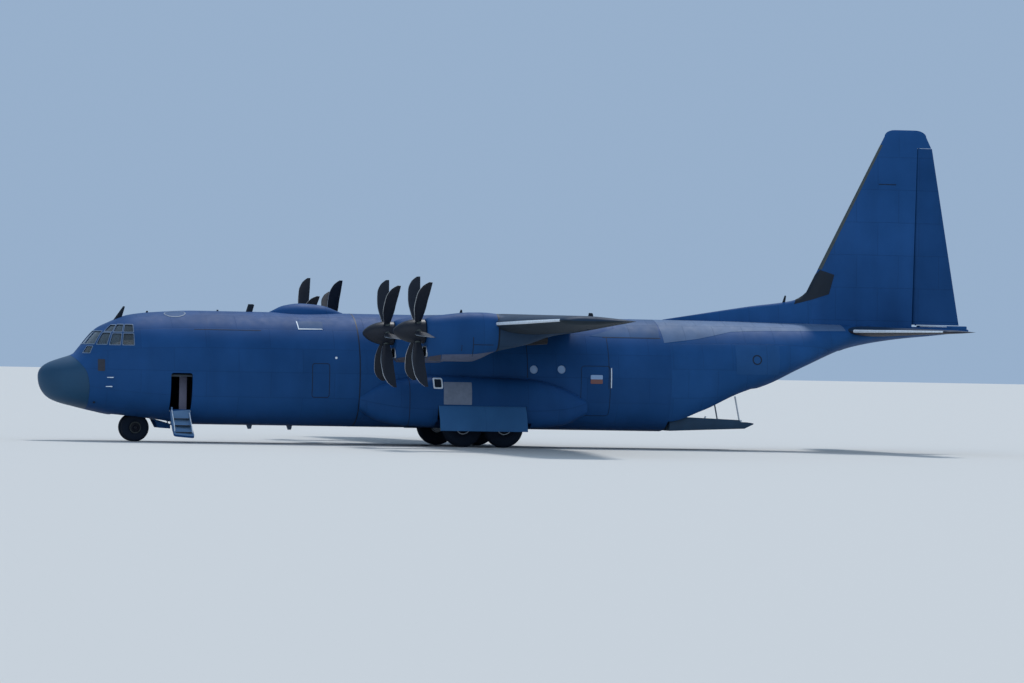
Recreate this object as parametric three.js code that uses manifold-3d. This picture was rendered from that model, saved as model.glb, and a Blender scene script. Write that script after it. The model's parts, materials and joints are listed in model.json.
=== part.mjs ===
// Military transport plane: four turboprops, high wing, upswept tail with a loading ramp, parked on its gear.
// Sizes are full-size millimetres: X runs aft from the nose tip, Y to starboard, Z up from the ground.
// The outer group makes the half-scale model and puts its origin under the middle of its length.
import * as THREE from "three";
import { mergeVertices } from "three/addons/utils/BufferGeometryUtils.js";
import Module from "manifold-3d";

const wasm = await Module();
wasm.setup();

// Driving dimensions
const SCALE = 0.5;
const LENGTH = 34370;
const SEAT = 0.6;
const CLEARANCE = 14;
const HULL_WALL = 100;
const TAIL_WALL = 70;
const COCKPIT_WALL = 80;
const FLOOR_TOP = 1030;
const FLOOR_DEPTH = 100;
const HOLD_HALF_WIDTH = 1560;
const NACELLE_LINES = { inboard: 4940, outboard: 10160 };
const THRUST_HEIGHT = { inboard: 3980, outboard: 4050 };
const PROPELLER_STATION = 11500;
const WING_HEIGHT = 4300;
const WING_SPLIT = 5590;
const TAILPLANE_HEIGHT = 4400;
const RUDDER_HINGE = 32360;
const ELEVATOR_HINGE = 31500;
const MAIN_WHEEL_STATIONS = { front: 14910, rear: 16410 };
const MAIN_WHEEL_LINE = 2170;
const MAIN_TYRE_RADIUS = 710;
const MAIN_AXLE_RADIUS = 60;
const MAIN_RIM_RADIUS = 260;
const NOSE_WHEEL_STATION = 3450;
const NOSE_WHEEL_LINE = 285;
const NOSE_TYRE_RADIUS = 495;
const NOSE_AXLE_RADIUS = 40;
const NOSE_RIM_RADIUS = 205;
const HULL_SIDES = 24;
const WHEEL_SIDES = 20;
const BEYOND = 100;
const WALL_REACH = { inner: 1000, outer: 3000 };

// Hull sections. Columns: station, top, bottom, half width, widest height, roundness above and below it
const HULL = [
  [0, 2370, 2170, 100, 2270, 2, 2],
  [90, 2540, 1830, 380, 2240, 2, 2],
  [390, 2760, 1490, 760, 2200, 2, 2.1],
  [800, 2910, 1320, 1050, 2180, 2.1, 2.2],
  [1250, 3070, 1210, 1290, 2180, 2.2, 2.3],
  [1460, 3310, 1160, 1390, 2200, 2.3, 2.4],
  [2090, 4010, 1020, 1640, 2300, 2.5, 2.5],
  [2440, 4190, 950, 1750, 2350, 2.5, 2.6],
  [3250, 4500, 880, 1930, 2420, 2.3, 2.7],
  [4200, 4610, 790, 2060, 2480, 2.1, 2.9],
  [5600, 4680, 640, 2160, 2520, 2, 3],
  [22600, 4680, 640, 2160, 2520, 2, 3],
  [23900, 4680, 1130, 2160, 2650, 2, 2.9],
  [25170, 4680, 1800, 2110, 2900, 2, 2.8],
  [26360, 4670, 2250, 2000, 3150, 2, 2.7],
  [27700, 4660, 2930, 1770, 3520, 2, 2.5],
  [29760, 4640, 3800, 1290, 4200, 2, 2.2],
  [31500, 4620, 4130, 830, 4370, 2, 2],
  [33200, 4600, 4320, 400, 4460, 2, 2],
  [34370, 4550, 4470, 70, 4510, 2, 2],
];
const NOSE_JOINT = { station: 1450, lean: -0.236, level: 2200 };
const SHELL_ENDS = { cockpit: 5800, forward: 11190, centre: 22600, tail: 34370 };

// Flying surfaces. Columns: span position, leading edge, chord, thickness, height
const WING = [
  [0, 14150, 4880, 880, WING_HEIGHT],
  [WING_SPLIT, 14150, 4880, 880, WING_HEIGHT],
  [19850, 14170, 2560, 310, WING_HEIGHT + 155],
  [20205, 14420, 2040, 120, WING_HEIGHT + 160],
];
const TAILPLANE = [
  [0, 29200, 3300, 396, TAILPLANE_HEIGHT],
  [7800, 30950, 1200, 120, TAILPLANE_HEIGHT],
  [8025, 31150, 900, 45, TAILPLANE_HEIGHT],
];
// Fin rows run upwards, so their span position is the height and their height is the centre line
const FIN = [
  [4300, 27430, 6650, 800, 0],
  [11250, 30890, 1960, 200, 0],
  [11560, 31045, 1600, 140, 0],
  [11810, 31430, 780, 50, 0],
];
const HINGE_SHARE = 0.75;

// Materials: colour, roughness, metalness
const FINISHES = {
  paint: [0x3f4d63, 0.55, 0.1],
  radome: [0x35424f, 0.6, 0.05],
  interior: [0x8a8f8c, 0.7, 0.05],
  glass: [0x20282e, 0.08, 0.0],
  dark: [0x22262c, 0.45, 0.2],
  gear: [0xb9bec2, 0.4, 0.4],
  tyre: [0x1b1b1c, 0.9, 0.0],
  door: [0x66788f, 0.55, 0.1],
  engine: [0x6c6e70, 0.5, 0.6],
  seat: [0x4b4f45, 0.9, 0.0],
};
const materials = Object.fromEntries(
  Object.entries(FINISHES).map(([name, [color, roughness, metalness]]) => [
    name,
    new THREE.MeshStandardMaterial({ name, color, roughness, metalness }),
  ]),
);

// A closed solid from corner points and triangles, turned so that its faces point out
function solidOf(points, triangles) {
  const make = (faces) =>
    new wasm.Manifold(
      new wasm.Mesh({
        numProp: 3,
        vertProperties: new Float32Array(points),
        triVerts: new Uint32Array(faces),
      }),
    );
  const made = make(triangles);
  if (made.volume() > 0) return made;
  const turned = [];
  for (let i = 0; i < triangles.length; i += 3) {
    turned.push(triangles[i], triangles[i + 2], triangles[i + 1]);
  }
  return make(turned);
}

// A closed solid from a three.js geometry, without the flat triangles at a lathe's axis
function solidFrom(geometry) {
  const bare = geometry.clone();
  bare.deleteAttribute("normal");
  bare.deleteAttribute("uv");
  const merged = mergeVertices(bare, 1e-3);
  const index = merged.index.array;
  const faces = [];
  for (let i = 0; i < index.length; i += 3) {
    const [a, b, c] = index.slice(i, i + 3);
    if (a !== b && b !== c && a !== c) faces.push(a, b, c);
  }
  return solidOf(merged.attributes.position.array, faces);
}

function geometryOf(solid) {
  const mesh = solid.getMesh();
  const geometry = new THREE.BufferGeometry();
  geometry.setAttribute("position", new THREE.BufferAttribute(mesh.vertProperties, 3));
  geometry.setIndex(new THREE.BufferAttribute(mesh.triVerts, 1));
  geometry.computeVertexNormals();
  return geometry;
}

// Skins loops of equal length and closes both ends with a fan from the middle
function loft(loops) {
  const count = loops[0].length;
  const points = loops.flat(2);
  const faces = [];
  for (let ring = 0; ring + 1 < loops.length; ring++) {
    for (let i = 0; i < count; i++) {
      const a = ring * count + i;
      const b = ring * count + ((i + 1) % count);
      faces.push(a, b, b + count, a, b + count, a + count);
    }
  }
  [0, loops.length - 1].forEach((ring) => {
    const middle = [0, 1, 2].map((axis) => loops[ring].reduce((sum, p) => sum + p[axis], 0) / count);
    const centre = points.length / 3;
    points.push(...middle);
    for (let i = 0; i < count; i++) {
      const edge = [ring * count + i, ring * count + ((i + 1) % count)];
      faces.push(centre, ...(ring === 0 ? edge.reverse() : edge));
    }
  });
  return solidOf(points, faces);
}

function box(x0, x1, y0, y1, z0, z1) {
  const geometry = new THREE.BoxGeometry(x1 - x0, y1 - y0, z1 - z0);
  return solidFrom(geometry.translate((x0 + x1) / 2, (y0 + y1) / 2, (z0 + z1) / 2));
}

function rod(from, to, radius, sides = 12, endRadius = radius) {
  const start = new THREE.Vector3(...from);
  const end = new THREE.Vector3(...to);
  const length = start.distanceTo(end);
  const geometry = new THREE.CylinderGeometry(endRadius, radius, length, sides);
  const turn = new THREE.Quaternion();
  turn.setFromUnitVectors(new THREE.Vector3(0, 1, 0), end.clone().sub(start).normalize());
  geometry.applyQuaternion(turn);
  const middle = start.add(end).multiplyScalar(0.5);
  return solidFrom(geometry.translate(middle.x, middle.y, middle.z));
}

function extruded(outline, depth) {
  const shape = new THREE.Shape(outline.map(([a, b]) => new THREE.Vector2(a, b)));
  return new THREE.ExtrudeGeometry(shape, { depth, bevelEnabled: false });
}

// An outline seen from the side (X, Z), as wide as y0 to y1
function sidePrism(outline, y0, y1) {
  return solidFrom(extruded(outline, y1 - y0).rotateX(Math.PI / 2).translate(0, y1, 0));
}

// An outline seen from above (X, Y), as tall as z0 to z1
function planPrism(outline, z0, z1) {
  return solidFrom(extruded(outline, z1 - z0).translate(0, 0, z0));
}

// An outline seen from ahead (Y, Z), as long as x0 to x1
function frontPrism(outline, x0, x1) {
  const [acrossY, upZ, alongX] = [new THREE.Vector3(0, 1, 0), new THREE.Vector3(0, 0, 1), new THREE.Vector3(1, 0, 0)];
  const turn = new THREE.Matrix4().makeBasis(acrossY, upZ, alongX);
  return solidFrom(extruded(outline, x1 - x0).applyMatrix4(turn).translate(x0, 0, 0));
}

// A ring or disc turned about Y from a profile of (radius, Y), with a flat of its rim at the bottom
function turnedAboutY(profile, sides = WHEEL_SIDES) {
  const points = profile.map(([radius, y]) => new THREE.Vector2(radius, y));
  return solidFrom(new THREE.LatheGeometry(points, sides, Math.PI / sides));
}

function turnedAboutX(profile, sides) {
  const points = profile.map(([radius, x]) => new THREE.Vector2(radius, x));
  return solidFrom(new THREE.LatheGeometry(points, sides).rotateZ(-Math.PI / 2));
}

function joined(solids) {
  return solids.reduce((whole, next) => whole.add(next));
}

function mirrored(solid) {
  return solid.mirror([0, 1, 0]);
}

function bothSides(solid) {
  return solid.add(mirrored(solid));
}

// The largest body of a cut solid, without slivers that a cut leaves
function mainBody(solid) {
  const bodies = solid.decompose();
  return bodies.reduce((best, body) => (body.volume() > best.volume() ? body : best));
}

function superPower(value, power) {
  return Math.sign(value) * Math.abs(value) ** (2 / power);
}

// One row of a table at any station between its rows
function rowAt(table, station) {
  const next = table.findIndex((row) => row[0] >= station);
  if (next === 0) return table[0];
  if (next < 0) return table[table.length - 1];
  const [low, high] = [table[next - 1], table[next]];
  const share = (station - low[0]) / (high[0] - low[0]);
  return low.map((value, column) => value + share * (high[column] - value));
}

function hullPoint(station, turn, inset) {
  const [, top, bottom, halfWidth, widest, topPower, bottomPower] = rowAt(HULL, station);
  const up = Math.sin(turn) > 0;
  const power = up ? topPower : bottomPower;
  const reach = up ? top - inset - widest : widest - bottom - inset;
  const y = (halfWidth - inset) * superPower(Math.cos(turn), power);
  return [station, y, widest + reach * superPower(Math.sin(turn), power)];
}

// A hull section, which leans like the nose joint where lean is given
function hullLoop(station, inset, lean) {
  return Array.from({ length: HULL_SIDES }, (_, i) => {
    const turn = (2 * Math.PI * i) / HULL_SIDES;
    const upright = hullPoint(station, turn, inset);
    if (!lean) return upright;
    return hullPoint(station + lean * (upright[2] - NOSE_JOINT.level), turn, inset);
  });
}

function hullSolid(from, to, { inset = 0, fromLean = 0, toLean = 0 } = {}) {
  const room = (lean) => 1 + Math.abs(lean) * 1200;
  const between = HULL.map((row) => row[0]).filter(
    (station) => station > from + room(fromLean) && station < to - room(toLean),
  );
  return loft([
    hullLoop(from, inset, fromLean),
    ...between.map((station) => hullLoop(station, inset, 0)),
    hullLoop(to, inset, toLean),
  ]);
}

function hullShell(from, to, wall) {
  return hullSolid(from, to).subtract(hullSolid(from - 100, to + 100, { inset: wall }));
}

// Outer half width of the hull at a station and height
function hullHalfWidth(station, height) {
  const [, top, bottom, halfWidth, widest, topPower, bottomPower] = rowAt(HULL, station);
  const share = height > widest ? (height - widest) / (top - widest) : (widest - height) / (widest - bottom);
  const power = height > widest ? topPower : bottomPower;
  return halfWidth * (1 - Math.min(share, 1) ** power) ** (1 / power);
}

// Shares of the chord at which a flying surface's section has corners
const FOIL_SHARES = [0, 0.02, 0.08, 0.2, 0.38, 0.58, HINGE_SHARE, 1];

// Half thickness of a symmetric section at a share of its chord
function halfThickness(share, thickness) {
  const [root, first, second, third, fourth] = [0.2969, 0.126, 0.3516, 0.2843, 0.1015];
  const polynomial = first * share + second * share ** 2 - third * share ** 3 + fourth * share ** 4;
  return 5 * thickness * (root * Math.sqrt(share) - polynomial);
}

// Corners (X, offset) of a whole section, made larger all round by grow
function foilCorners([, lead, chord, thickness], grow) {
  const upper = FOIL_SHARES.map((share) => [
    lead - grow + share * (chord + 2 * grow),
    halfThickness(share, thickness) + (share > 0 ? grow : 0),
  ]);
  const lower = upper.slice(1).reverse();
  return [...upper, ...lower.map(([x, offset]) => [x, -offset])];
}

const wingPlace = ([span, , , , height], x, offset) => [x, span, height + offset];
const finPlace = ([span, , , , height], x, offset) => [x, height + offset, span];

function foilSolid(rows, place, grow = 0) {
  return loft(rows.map((row) => foilCorners(row, grow).map(([x, offset]) => place(row, x, offset))));
}

// Rows of a table from one span position to another
function rowsBetween(table, from, to) {
  const inner = table.filter((row) => row[0] > from && row[0] < to);
  return [rowAt(table, from), ...inner, rowAt(table, to)];
}

const SURFACE_GAP = 50;
const KNUCKLE = { radius: 30, length: 25, root: 80, sides: 8 };
const NOSE_TURNS = [0.5, 0.75, 1, 1.25, 1.5];

function noseRadius([, lead, chord, thickness], hinge) {
  return halfThickness((hinge - lead) / chord, thickness);
}

// Corners of a movable surface: a round nose about its hinge, then the section's tail
function movableCorners(row, hinge) {
  const [, lead, chord, thickness] = row;
  const radius = noseRadius(row, hinge);
  const nose = NOSE_TURNS.map((turn) => [
    hinge + radius * Math.cos(turn * Math.PI),
    radius * Math.sin(turn * Math.PI),
  ]);
  const middle = ((hinge - lead) / chord + 1) / 2;
  const tail = [middle, 1].map((share) => [
    lead + share * chord,
    halfThickness(share, thickness),
  ]);
  return [...nose, ...tail.map(([x, offset]) => [x, -offset]), ...tail.reverse()];
}

// A hinged surface between two span positions: itself, the bay that its wing leaves and the wing's pins
function movableSurface(table, from, to, hingeAt, place) {
  const rows = [from, to].map((span) => rowAt(table, span));
  const hinges = rows.map((row) => hingeAt(row));
  const ends = rows.map((row, i) => new THREE.Vector3(...place(row, hinges[i], 0)));
  const along = ends[1].clone().sub(ends[0]).normalize();
  const point = (end, distance) => ends[end].clone().addScaledVector(along, distance).toArray();
  const body = loft(
    rows.map((row, i) => movableCorners(row, hinges[i]).map(([x, offset]) => place(row, x, offset))),
  );
  const { radius, length, root, sides } = KNUCKLE;
  const knuckles = [
    rod(point(0, -length), point(0, root), radius, sides),
    rod(point(1, -root), point(1, length), radius, sides),
  ];
  const pins = [
    rod(point(0, -root), point(0, -length - SEAT), radius, sides),
    rod(point(1, length + SEAT), point(1, root), radius, sides),
  ];
  const room = 3000;
  const bay = loft(
    rows.map((row, i) => {
      const front = hinges[i] - noseRadius(row, hinges[i]) - CLEARANCE;
      const end = [row[0] + (i ? SURFACE_GAP : -SURFACE_GAP), ...row.slice(1)];
      const corners = [[front, -room], [front + room, -room], [front + room, room], [front, room]];
      return corners.map(([x, offset]) => place(end, x, offset));
    }),
  );
  return { body: joined([body, ...knuckles]), bay, pins: joined(pins) };
}

// The group that holds everything, and what adds a named piece to it
const aircraft = new THREE.Group();
aircraft.scale.setScalar(SCALE);
aircraft.position.x = (-SCALE * LENGTH) / 2;

function addPiece(name, solid, finish, pivot = [0, 0, 0]) {
  const back = pivot.map((value) => -value);
  const mesh = new THREE.Mesh(geometryOf(solid.translate(back)), materials[finish]);
  mesh.name = name;
  mesh.position.set(...pivot);
  aircraft.add(mesh);
  return mesh;
}

function addPair(name, starboard, finish) {
  addPiece(`${name}_left`, mirrored(starboard), finish);
  addPiece(`${name}_right`, starboard, finish);
}

// Radome: a solid nose cone up to the leaning joint
function addRadome() {
  const { station, lean } = NOSE_JOINT;
  addPiece("radome", hullSolid(0, station - SEAT, { toLean: lean }), "radome");
}

// Flight deck windows. Columns: two angles from dead ahead about the pilots' line, sill and head heights
const PILOT_STATION = 3200;
const PANES = [
  [14, 39, 3440, 3880],
  [43, 56, 3430, 3830],
  [59.5, 72, 3420, 3810],
  [75, 88, 3420, 3810],
  [44, 57, 3890, 4110],
  [59.5, 72, 3880, 4130],
  [75, 88, 3880, 4130],
  [27, 38, 3120, 3340],
];
const CENTRE_PANE = [-11, 11, 3440, 3880];

function paneCutter([from, to, sill, head]) {
  const [near, far] = [500, 2800];
  const at = (degrees, radius) => {
    const angle = THREE.MathUtils.degToRad(degrees);
    return [PILOT_STATION - radius * Math.cos(angle), radius * Math.sin(angle)];
  };
  return planPrism([at(from, near), at(from, far), at(to, far), at(to, near)], sill, head);
}

// Crew door on the port side, folded down on its sill hinge
const CREW_DOOR = { from: 4430, to: 5190, sill: 1130, head: 2460, inner: 900, openAngle: 117 };
const CREW_HINGE = { z: 1122, proud: 12, radius: 34, lining: 70, lugLength: 60, lugReach: 150 };
const CREW_STEP = { distances: [300, 570, 840], halfWidth: 290, halfDepth: 110, thickness: 26, slope: 41 };
CREW_HINGE.y = -hullHalfWidth(CREW_DOOR.to, CREW_HINGE.z) - CREW_HINGE.proud;

// Nose wheel bay, open below
const NOSE_BAY = { from: 2550, to: 4700, halfWidth: 570, low: 600, roof: 1950, wall: 30 };
const NOSE_DOOR = { from: 4090, to: 4750, low: 600, drop: 190, halfWidth: 430, thickness: 28 };
const NOSE_DOOR_ARM = { length: 40, width: 40, line: 410, sink: 10, top: 850 };

// The space inside the cockpit's walls, from the nose bulkhead aft
function cabinSpace(inset) {
  const { station, lean } = NOSE_JOINT;
  const bulkhead = 160;
  return hullSolid(station + bulkhead, SHELL_ENDS.cockpit + BEYOND, { inset, fromLean: lean });
}

function addCockpitShell() {
  const { station, lean } = NOSE_JOINT;
  const end = SHELL_ENDS.cockpit;
  const hull = hullSolid(station, end - SEAT, { fromLean: lean });
  const cabin = cabinSpace(COCKPIT_WALL);
  const { from, to, halfWidth, low, roof, wall } = NOSE_BAY;
  const bayLiner = box(from - wall, to + wall, -halfWidth - wall, halfWidth + wall, low, roof + wall);
  const bay = box(from, to, -halfWidth, halfWidth, 0, roof);
  const panes = PANES.map(paneCutter);
  const windows = [...panes, ...panes.map(mirrored), paneCutter(CENTRE_PANE)];
  const door = CREW_DOOR;
  const doorway = box(door.from, door.to, -WALL_REACH.outer, -door.inner, door.sill, door.head);
  const { y, z, radius, lugLength, lugReach } = CREW_HINGE;
  const knuckleRoom = rod([door.from, y, z], [door.to, y, z], radius + CLEARANCE);
  const lugs = [[door.from - lugLength, door.from], [door.to, door.to + lugLength]].map(([front, back]) =>
    rod([front, y, z], [back, y, z], radius).add(box(front, back, y, y + lugReach, z - radius, z + radius)),
  );
  const shell = hull.subtract(cabin).add(bayLiner.intersect(hull));
  const cut = joined([bay, doorway, knuckleRoom, ...windows]);
  const extras = [...lugs, noseGearDoor(), ...aerialsBetween(station, end)];
  addPiece("cockpit_shell", joined([mainBody(shell.subtract(cut)), ...extras]), "paint");
}

// The rear nose gear door hangs below the bay on two arms
function noseGearDoor() {
  const { from, to, low, drop, halfWidth, thickness } = NOSE_DOOR;
  const front = low + drop;
  const panel = sidePrism(
    [[from, front], [to, low], [to, low + thickness], [from, front + thickness]],
    -halfWidth,
    halfWidth,
  );
  const { length, width, line, sink, top } = NOSE_DOOR_ARM;
  const arm = box(to - length, to, line - width, line, low + sink, top);
  return joined([panel, bothSides(arm)]);
}

const WINDSHIELD = { thickness: 25, end: 3560, low: 3080, high: 4180 };

function addWindshield() {
  const { thickness, end, low, high } = WINDSHIELD;
  const { outer: wide } = WALL_REACH;
  const outer = cabinSpace(COCKPIT_WALL + SEAT);
  const inner = cabinSpace(COCKPIT_WALL + SEAT + thickness);
  const band = box(NOSE_JOINT.station, end, -wide, wide, low, high);
  addPiece("windshield_glass", mainBody(outer.subtract(inner).intersect(band)), "glass");
}

function addCrewDoor() {
  const { from, to, sill, head, openAngle } = CREW_DOOR;
  const { y, z, radius } = CREW_HINGE;
  const skin = hullSolid(from + CLEARANCE, to - CLEARANCE);
  const inside = hullSolid(from - BEYOND, to + BEYOND, { inset: COCKPIT_WALL });
  const room = box(from, to, -WALL_REACH.outer, y + CREW_HINGE.lining, sill + CLEARANCE, head - CLEARANCE);
  const barrel = rod([from + SEAT, y, z], [to - SEAT, y, z], radius);
  const { distances, halfWidth, halfDepth, thickness, slope } = CREW_STEP;
  const fall = Math.tan(THREE.MathUtils.degToRad(slope));
  const steps = distances.map((distance) => {
    const middle = (from + to) / 2;
    const [line, level] = [y - distance, z - distance * fall];
    const [left, right] = [middle - halfWidth, middle + halfWidth];
    const tread = box(left, right, line - halfDepth, line + halfDepth, level - thickness, level);
    return tread.translate([0, -y, -z]).rotate([-openAngle, 0, 0]).translate([0, y, z]);
  });
  const door = mainBody(joined([skin.subtract(inside).intersect(room), barrel, ...steps]));
  const mesh = addPiece("crew_door", door, "paint", [0, y, z]);
  mesh.rotation.x = THREE.MathUtils.degToRad(openAngle);
}

// Flight deck with its instrument panel and pedestal
const DECK = { top: 2400, thickness: 70, from: 1900, to: 5400, doorEdge: 1940, sink: 10 };
const PANEL_STAND = { from: 2180, to: 2400, halfWidth: 1000, top: 2960 };
// Outlines seen from the side. Columns: station, height
const PANEL = { halfWidth: 1150, outline: [[2330, 2900], [2420, 2920], [2380, 3330], [2180, 3340], [2120, 3180]] };
const PEDESTAL = { halfWidth: 210, top: [[3050, 2820], [2400, 3000]], foot: [2300, 3050] };

function addFlightDeck() {
  const { top, thickness, from, to, doorEdge, sink } = DECK;
  const { outer: wide } = WALL_REACH;
  const slab = cabinSpace(COCKPIT_WALL + SEAT).intersect(box(from, to, -wide, wide, top - thickness, top));
  const doorRoom = box(CREW_DOOR.from, CREW_DOOR.to, -wide, -doorEdge, 0, top + sink);
  const foot = top - sink;
  const { halfWidth } = PANEL_STAND;
  const stand = box(PANEL_STAND.from, PANEL_STAND.to, -halfWidth, halfWidth, foot, PANEL_STAND.top);
  const panel = sidePrism(PANEL.outline, -PANEL.halfWidth, PANEL.halfWidth);
  const feet = PEDESTAL.foot.map((station) => [station, foot]);
  const pedestal = sidePrism([...feet, ...PEDESTAL.top], -PEDESTAL.halfWidth, PEDESTAL.halfWidth);
  addPiece("flight_deck", joined([slab.subtract(doorRoom), stand, panel, pedestal]), "interior");
}

// Blocks of a crew seat: base, cushion, arms and arm posts. Columns: ends in X, in Y and in Z
const CREW_SEAT = [
  [3080, 3330, 420, 700, DECK.top + SEAT, 2720],
  [2960, 3470, 300, 820, 2700, 2840],
  [3020, 3500, 290, 350, 2960, 3010],
  [3020, 3500, 770, 830, 2960, 3010],
  [3380, 3440, 290, 350, 2800, 3000],
  [3380, 3440, 770, 830, 2800, 3000],
];
// Leaning parts of a crew seat, seen from the side. Columns: outline, ends in Y
const CREW_SEAT_BACK = [
  [[[3400, 2760], [3520, 2760], [3640, 3460], [3530, 3460]], [310, 810]],
  [[[3530, 3440], [3630, 3440], [3660, 3640], [3570, 3640]], [430, 690]],
];

function addSeats() {
  const blocks = CREW_SEAT.map((ends) => box(...ends));
  const backs = CREW_SEAT_BACK.map(([outline, ends]) => sidePrism(outline, ...ends));
  addPair("seat", joined([...blocks, ...backs]), "seat");
}

// Blade aerials on the centre line. Columns: station, heights of root and tip, chord, sweep, taper
const AERIALS = [
  [2760, 4250, 4790, 300, 0.78, 0.25],
  [7510, 4600, 4880, 260, 0.38, 0.5],
  [7480, 720, 500, 260, 0.38, 0.5],
  [8930, 720, 490, 260, 0.38, 0.5],
  [19960, 4600, 4880, 250, 0.2, 0.6],
];
const AERIAL_HALF_THICKNESS = 18;

// The aerials whose stations lie between two
function aerialsBetween(from, to) {
  const between = AERIALS.filter(([station]) => station > from && station < to);
  return between.map(([station, root, tip, chord, sweep, taper]) => {
    const swept = station + sweep * Math.abs(tip - root);
    const outline = [[station, root], [station + chord, root], [swept + chord * taper, tip], [swept, tip]];
    return sidePrism(outline, -AERIAL_HALF_THICKNESS, AERIAL_HALF_THICKNESS);
  });
}

// Aerial fairing on the forward roof. Columns: station, top, half width
const ROOF_FAIRING = [
  [8270, 4690, 90],
  [8800, 4930, 400],
  [9360, 5010, 480],
  [10100, 4960, 420],
  [10930, 4690, 90],
];

const ROOF_BASE = 4600;
const ROOF_SIDES = 8;

function addForwardFuselage() {
  const { cockpit, forward } = SHELL_ENDS;
  const fairing = loft(
    ROOF_FAIRING.map(([station, top, halfWidth]) =>
      Array.from({ length: ROOF_SIDES + 1 }, (_, i) => {
        const turn = (Math.PI * i) / ROOF_SIDES;
        return [station, halfWidth * Math.cos(turn), ROOF_BASE + (top - ROOF_BASE) * Math.sin(turn)];
      }),
    ),
  );
  const shell = hullShell(cockpit, forward - SEAT, HULL_WALL);
  addPiece("forward_fuselage", joined([shell, fairing, ...aerialsBetween(cockpit, forward)]), "paint");
}

// Main wheel bays in the hull's lower corners
const BAY = { from: 13850, to: 17350, inner: 1620, outer: 2640, low: 900, roof: 2100, wall: 60 };
const PARATROOP_DOOR = { from: 19260, to: 20330, sill: 1190, head: 2960, thickness: 60 };
// Round windows. Columns: station, height
const SIDE_WINDOWS = [[17510, 2800], [18530, 2820]];
const SIDE_WINDOW_RADIUS = 150;
const DOOR_WINDOW = { station: 19820, height: 2540, radius: 130 };

// A bar through the starboard wall at a round window
function porthole(station, height, radius) {
  return rod([station, WALL_REACH.inner, height], [station, WALL_REACH.outer, height], radius);
}

function addCentreFuselage() {
  const { forward, centre } = SHELL_ENDS;
  const { from, to, inner, low, roof, wall } = BAY;
  const reach = WALL_REACH;
  const hull = hullSolid(forward, centre);
  const linerBox = box(from - wall, to + wall, HOLD_HALF_WIDTH, reach.outer, low, roof + wall);
  const bay = box(from, to, inner, reach.outer, 0, roof);
  const holes = SIDE_WINDOWS.map(([station, height]) => porthole(station, height, SIDE_WINDOW_RADIUS));
  const door = PARATROOP_DOOR;
  const doorway = box(door.from, door.to, reach.inner, reach.outer, door.sill, door.head);
  const shell = hullShell(forward, centre, HULL_WALL).add(bothSides(linerBox).intersect(hull));
  const cut = joined([bothSides(bay), bothSides(joined([...holes, doorway])), wingCentre(SEAT)]);
  const aerials = aerialsBetween(forward, centre);
  addPiece("centre_fuselage", joined([mainBody(shell.subtract(cut)), ...aerials]), "paint");
}

function addParatroopDoors() {
  const { from, to, sill, head, thickness } = PARATROOP_DOOR;
  const { station, height, radius } = DOOR_WINDOW;
  const skin = hullShell(from + SEAT, to - SEAT, thickness);
  const room = box(from, to, WALL_REACH.inner, WALL_REACH.outer, sill + SEAT, head - SEAT);
  addPair("paratroop_door", skin.intersect(room).subtract(porthole(station, height, radius)), "paint");
}

// Tail: the ramp opening narrows aft. Columns: station, half width of the opening
const TAIL_OPENING = [[22500, 1700], [25700, 1640], [25950, 1500], [27700, 1230], [29350, 880]];
// The opening's outline seen from the side. Columns: station, height
const TAIL_MOUTH = [[22500, 0], [29400, 0], [29400, 4000], [27700, 3600], [25000, 2800], [22500, 2200]];
const TAIL_MOUTH_ROOF = 4200;
const TAIL_CAVITY_END = 29900;
const AFT_DOOR = { hinge: 29240, height: 3790, front: 25960, thickness: 90, restAngle: 2 };
const AFT_DOOR_HALF = { front: 1430, rear: 800 };
const AFT_DOOR_TUBE = { radius: 50, halfLength: 812, pinEnd: 1040, sides: 10 };
const AFT_DOOR_RIB = { shares: [0.2, 0.45, 0.7, 0.92], halfLength: 25, margin: 40, low: 40, high: 110 };
const RUDDER_POST = { foot: 4500, radius: 30 };

function addTailFuselage() {
  const { centre, tail } = SHELL_ENDS;
  const hull = hullSolid(centre + SEAT, tail);
  const cavity = hullSolid(centre - BEYOND, TAIL_CAVITY_END, { inset: TAIL_WALL });
  const plan = [...TAIL_OPENING, ...TAIL_OPENING.map(([x, y]) => [x, -y]).reverse()];
  const under = sidePrism(TAIL_MOUTH, -WALL_REACH.outer, WALL_REACH.outer);
  const opening = planPrism(plan, 0, TAIL_MOUTH_ROOF).intersect(under);
  const tailplane = foilSolid(mirrorRows(TAILPLANE), wingPlace, SEAT);
  const { hinge, height } = AFT_DOOR;
  const { halfLength, pinEnd, sides } = AFT_DOOR_TUBE;
  const pin = rod([hinge, halfLength + SEAT, height], [hinge, pinEnd, height], KNUCKLE.radius, sides);
  const postTop = RUDDER_SPAN[0] - KNUCKLE.length - SEAT;
  const post = rod([RUDDER_HINGE, 0, RUDDER_POST.foot], [RUDDER_HINGE, 0, postTop], RUDDER_POST.radius);
  const shell = mainBody(hull.subtract(joined([cavity, opening, tailplane])));
  addPiece("tail_fuselage", mainBody(joined([shell, bothSides(pin), post])), "paint");
}

function mirrorRows(table) {
  const port = table.slice(1).reverse();
  return [...port.map(([span, ...rest]) => [-span, ...rest]), ...table];
}

function aftDoorHalfWidth(station) {
  const share = (station - AFT_DOOR.front) / (AFT_DOOR.hinge - AFT_DOOR.front);
  return AFT_DOOR_HALF.front + share * (AFT_DOOR_HALF.rear - AFT_DOOR_HALF.front);
}

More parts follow.
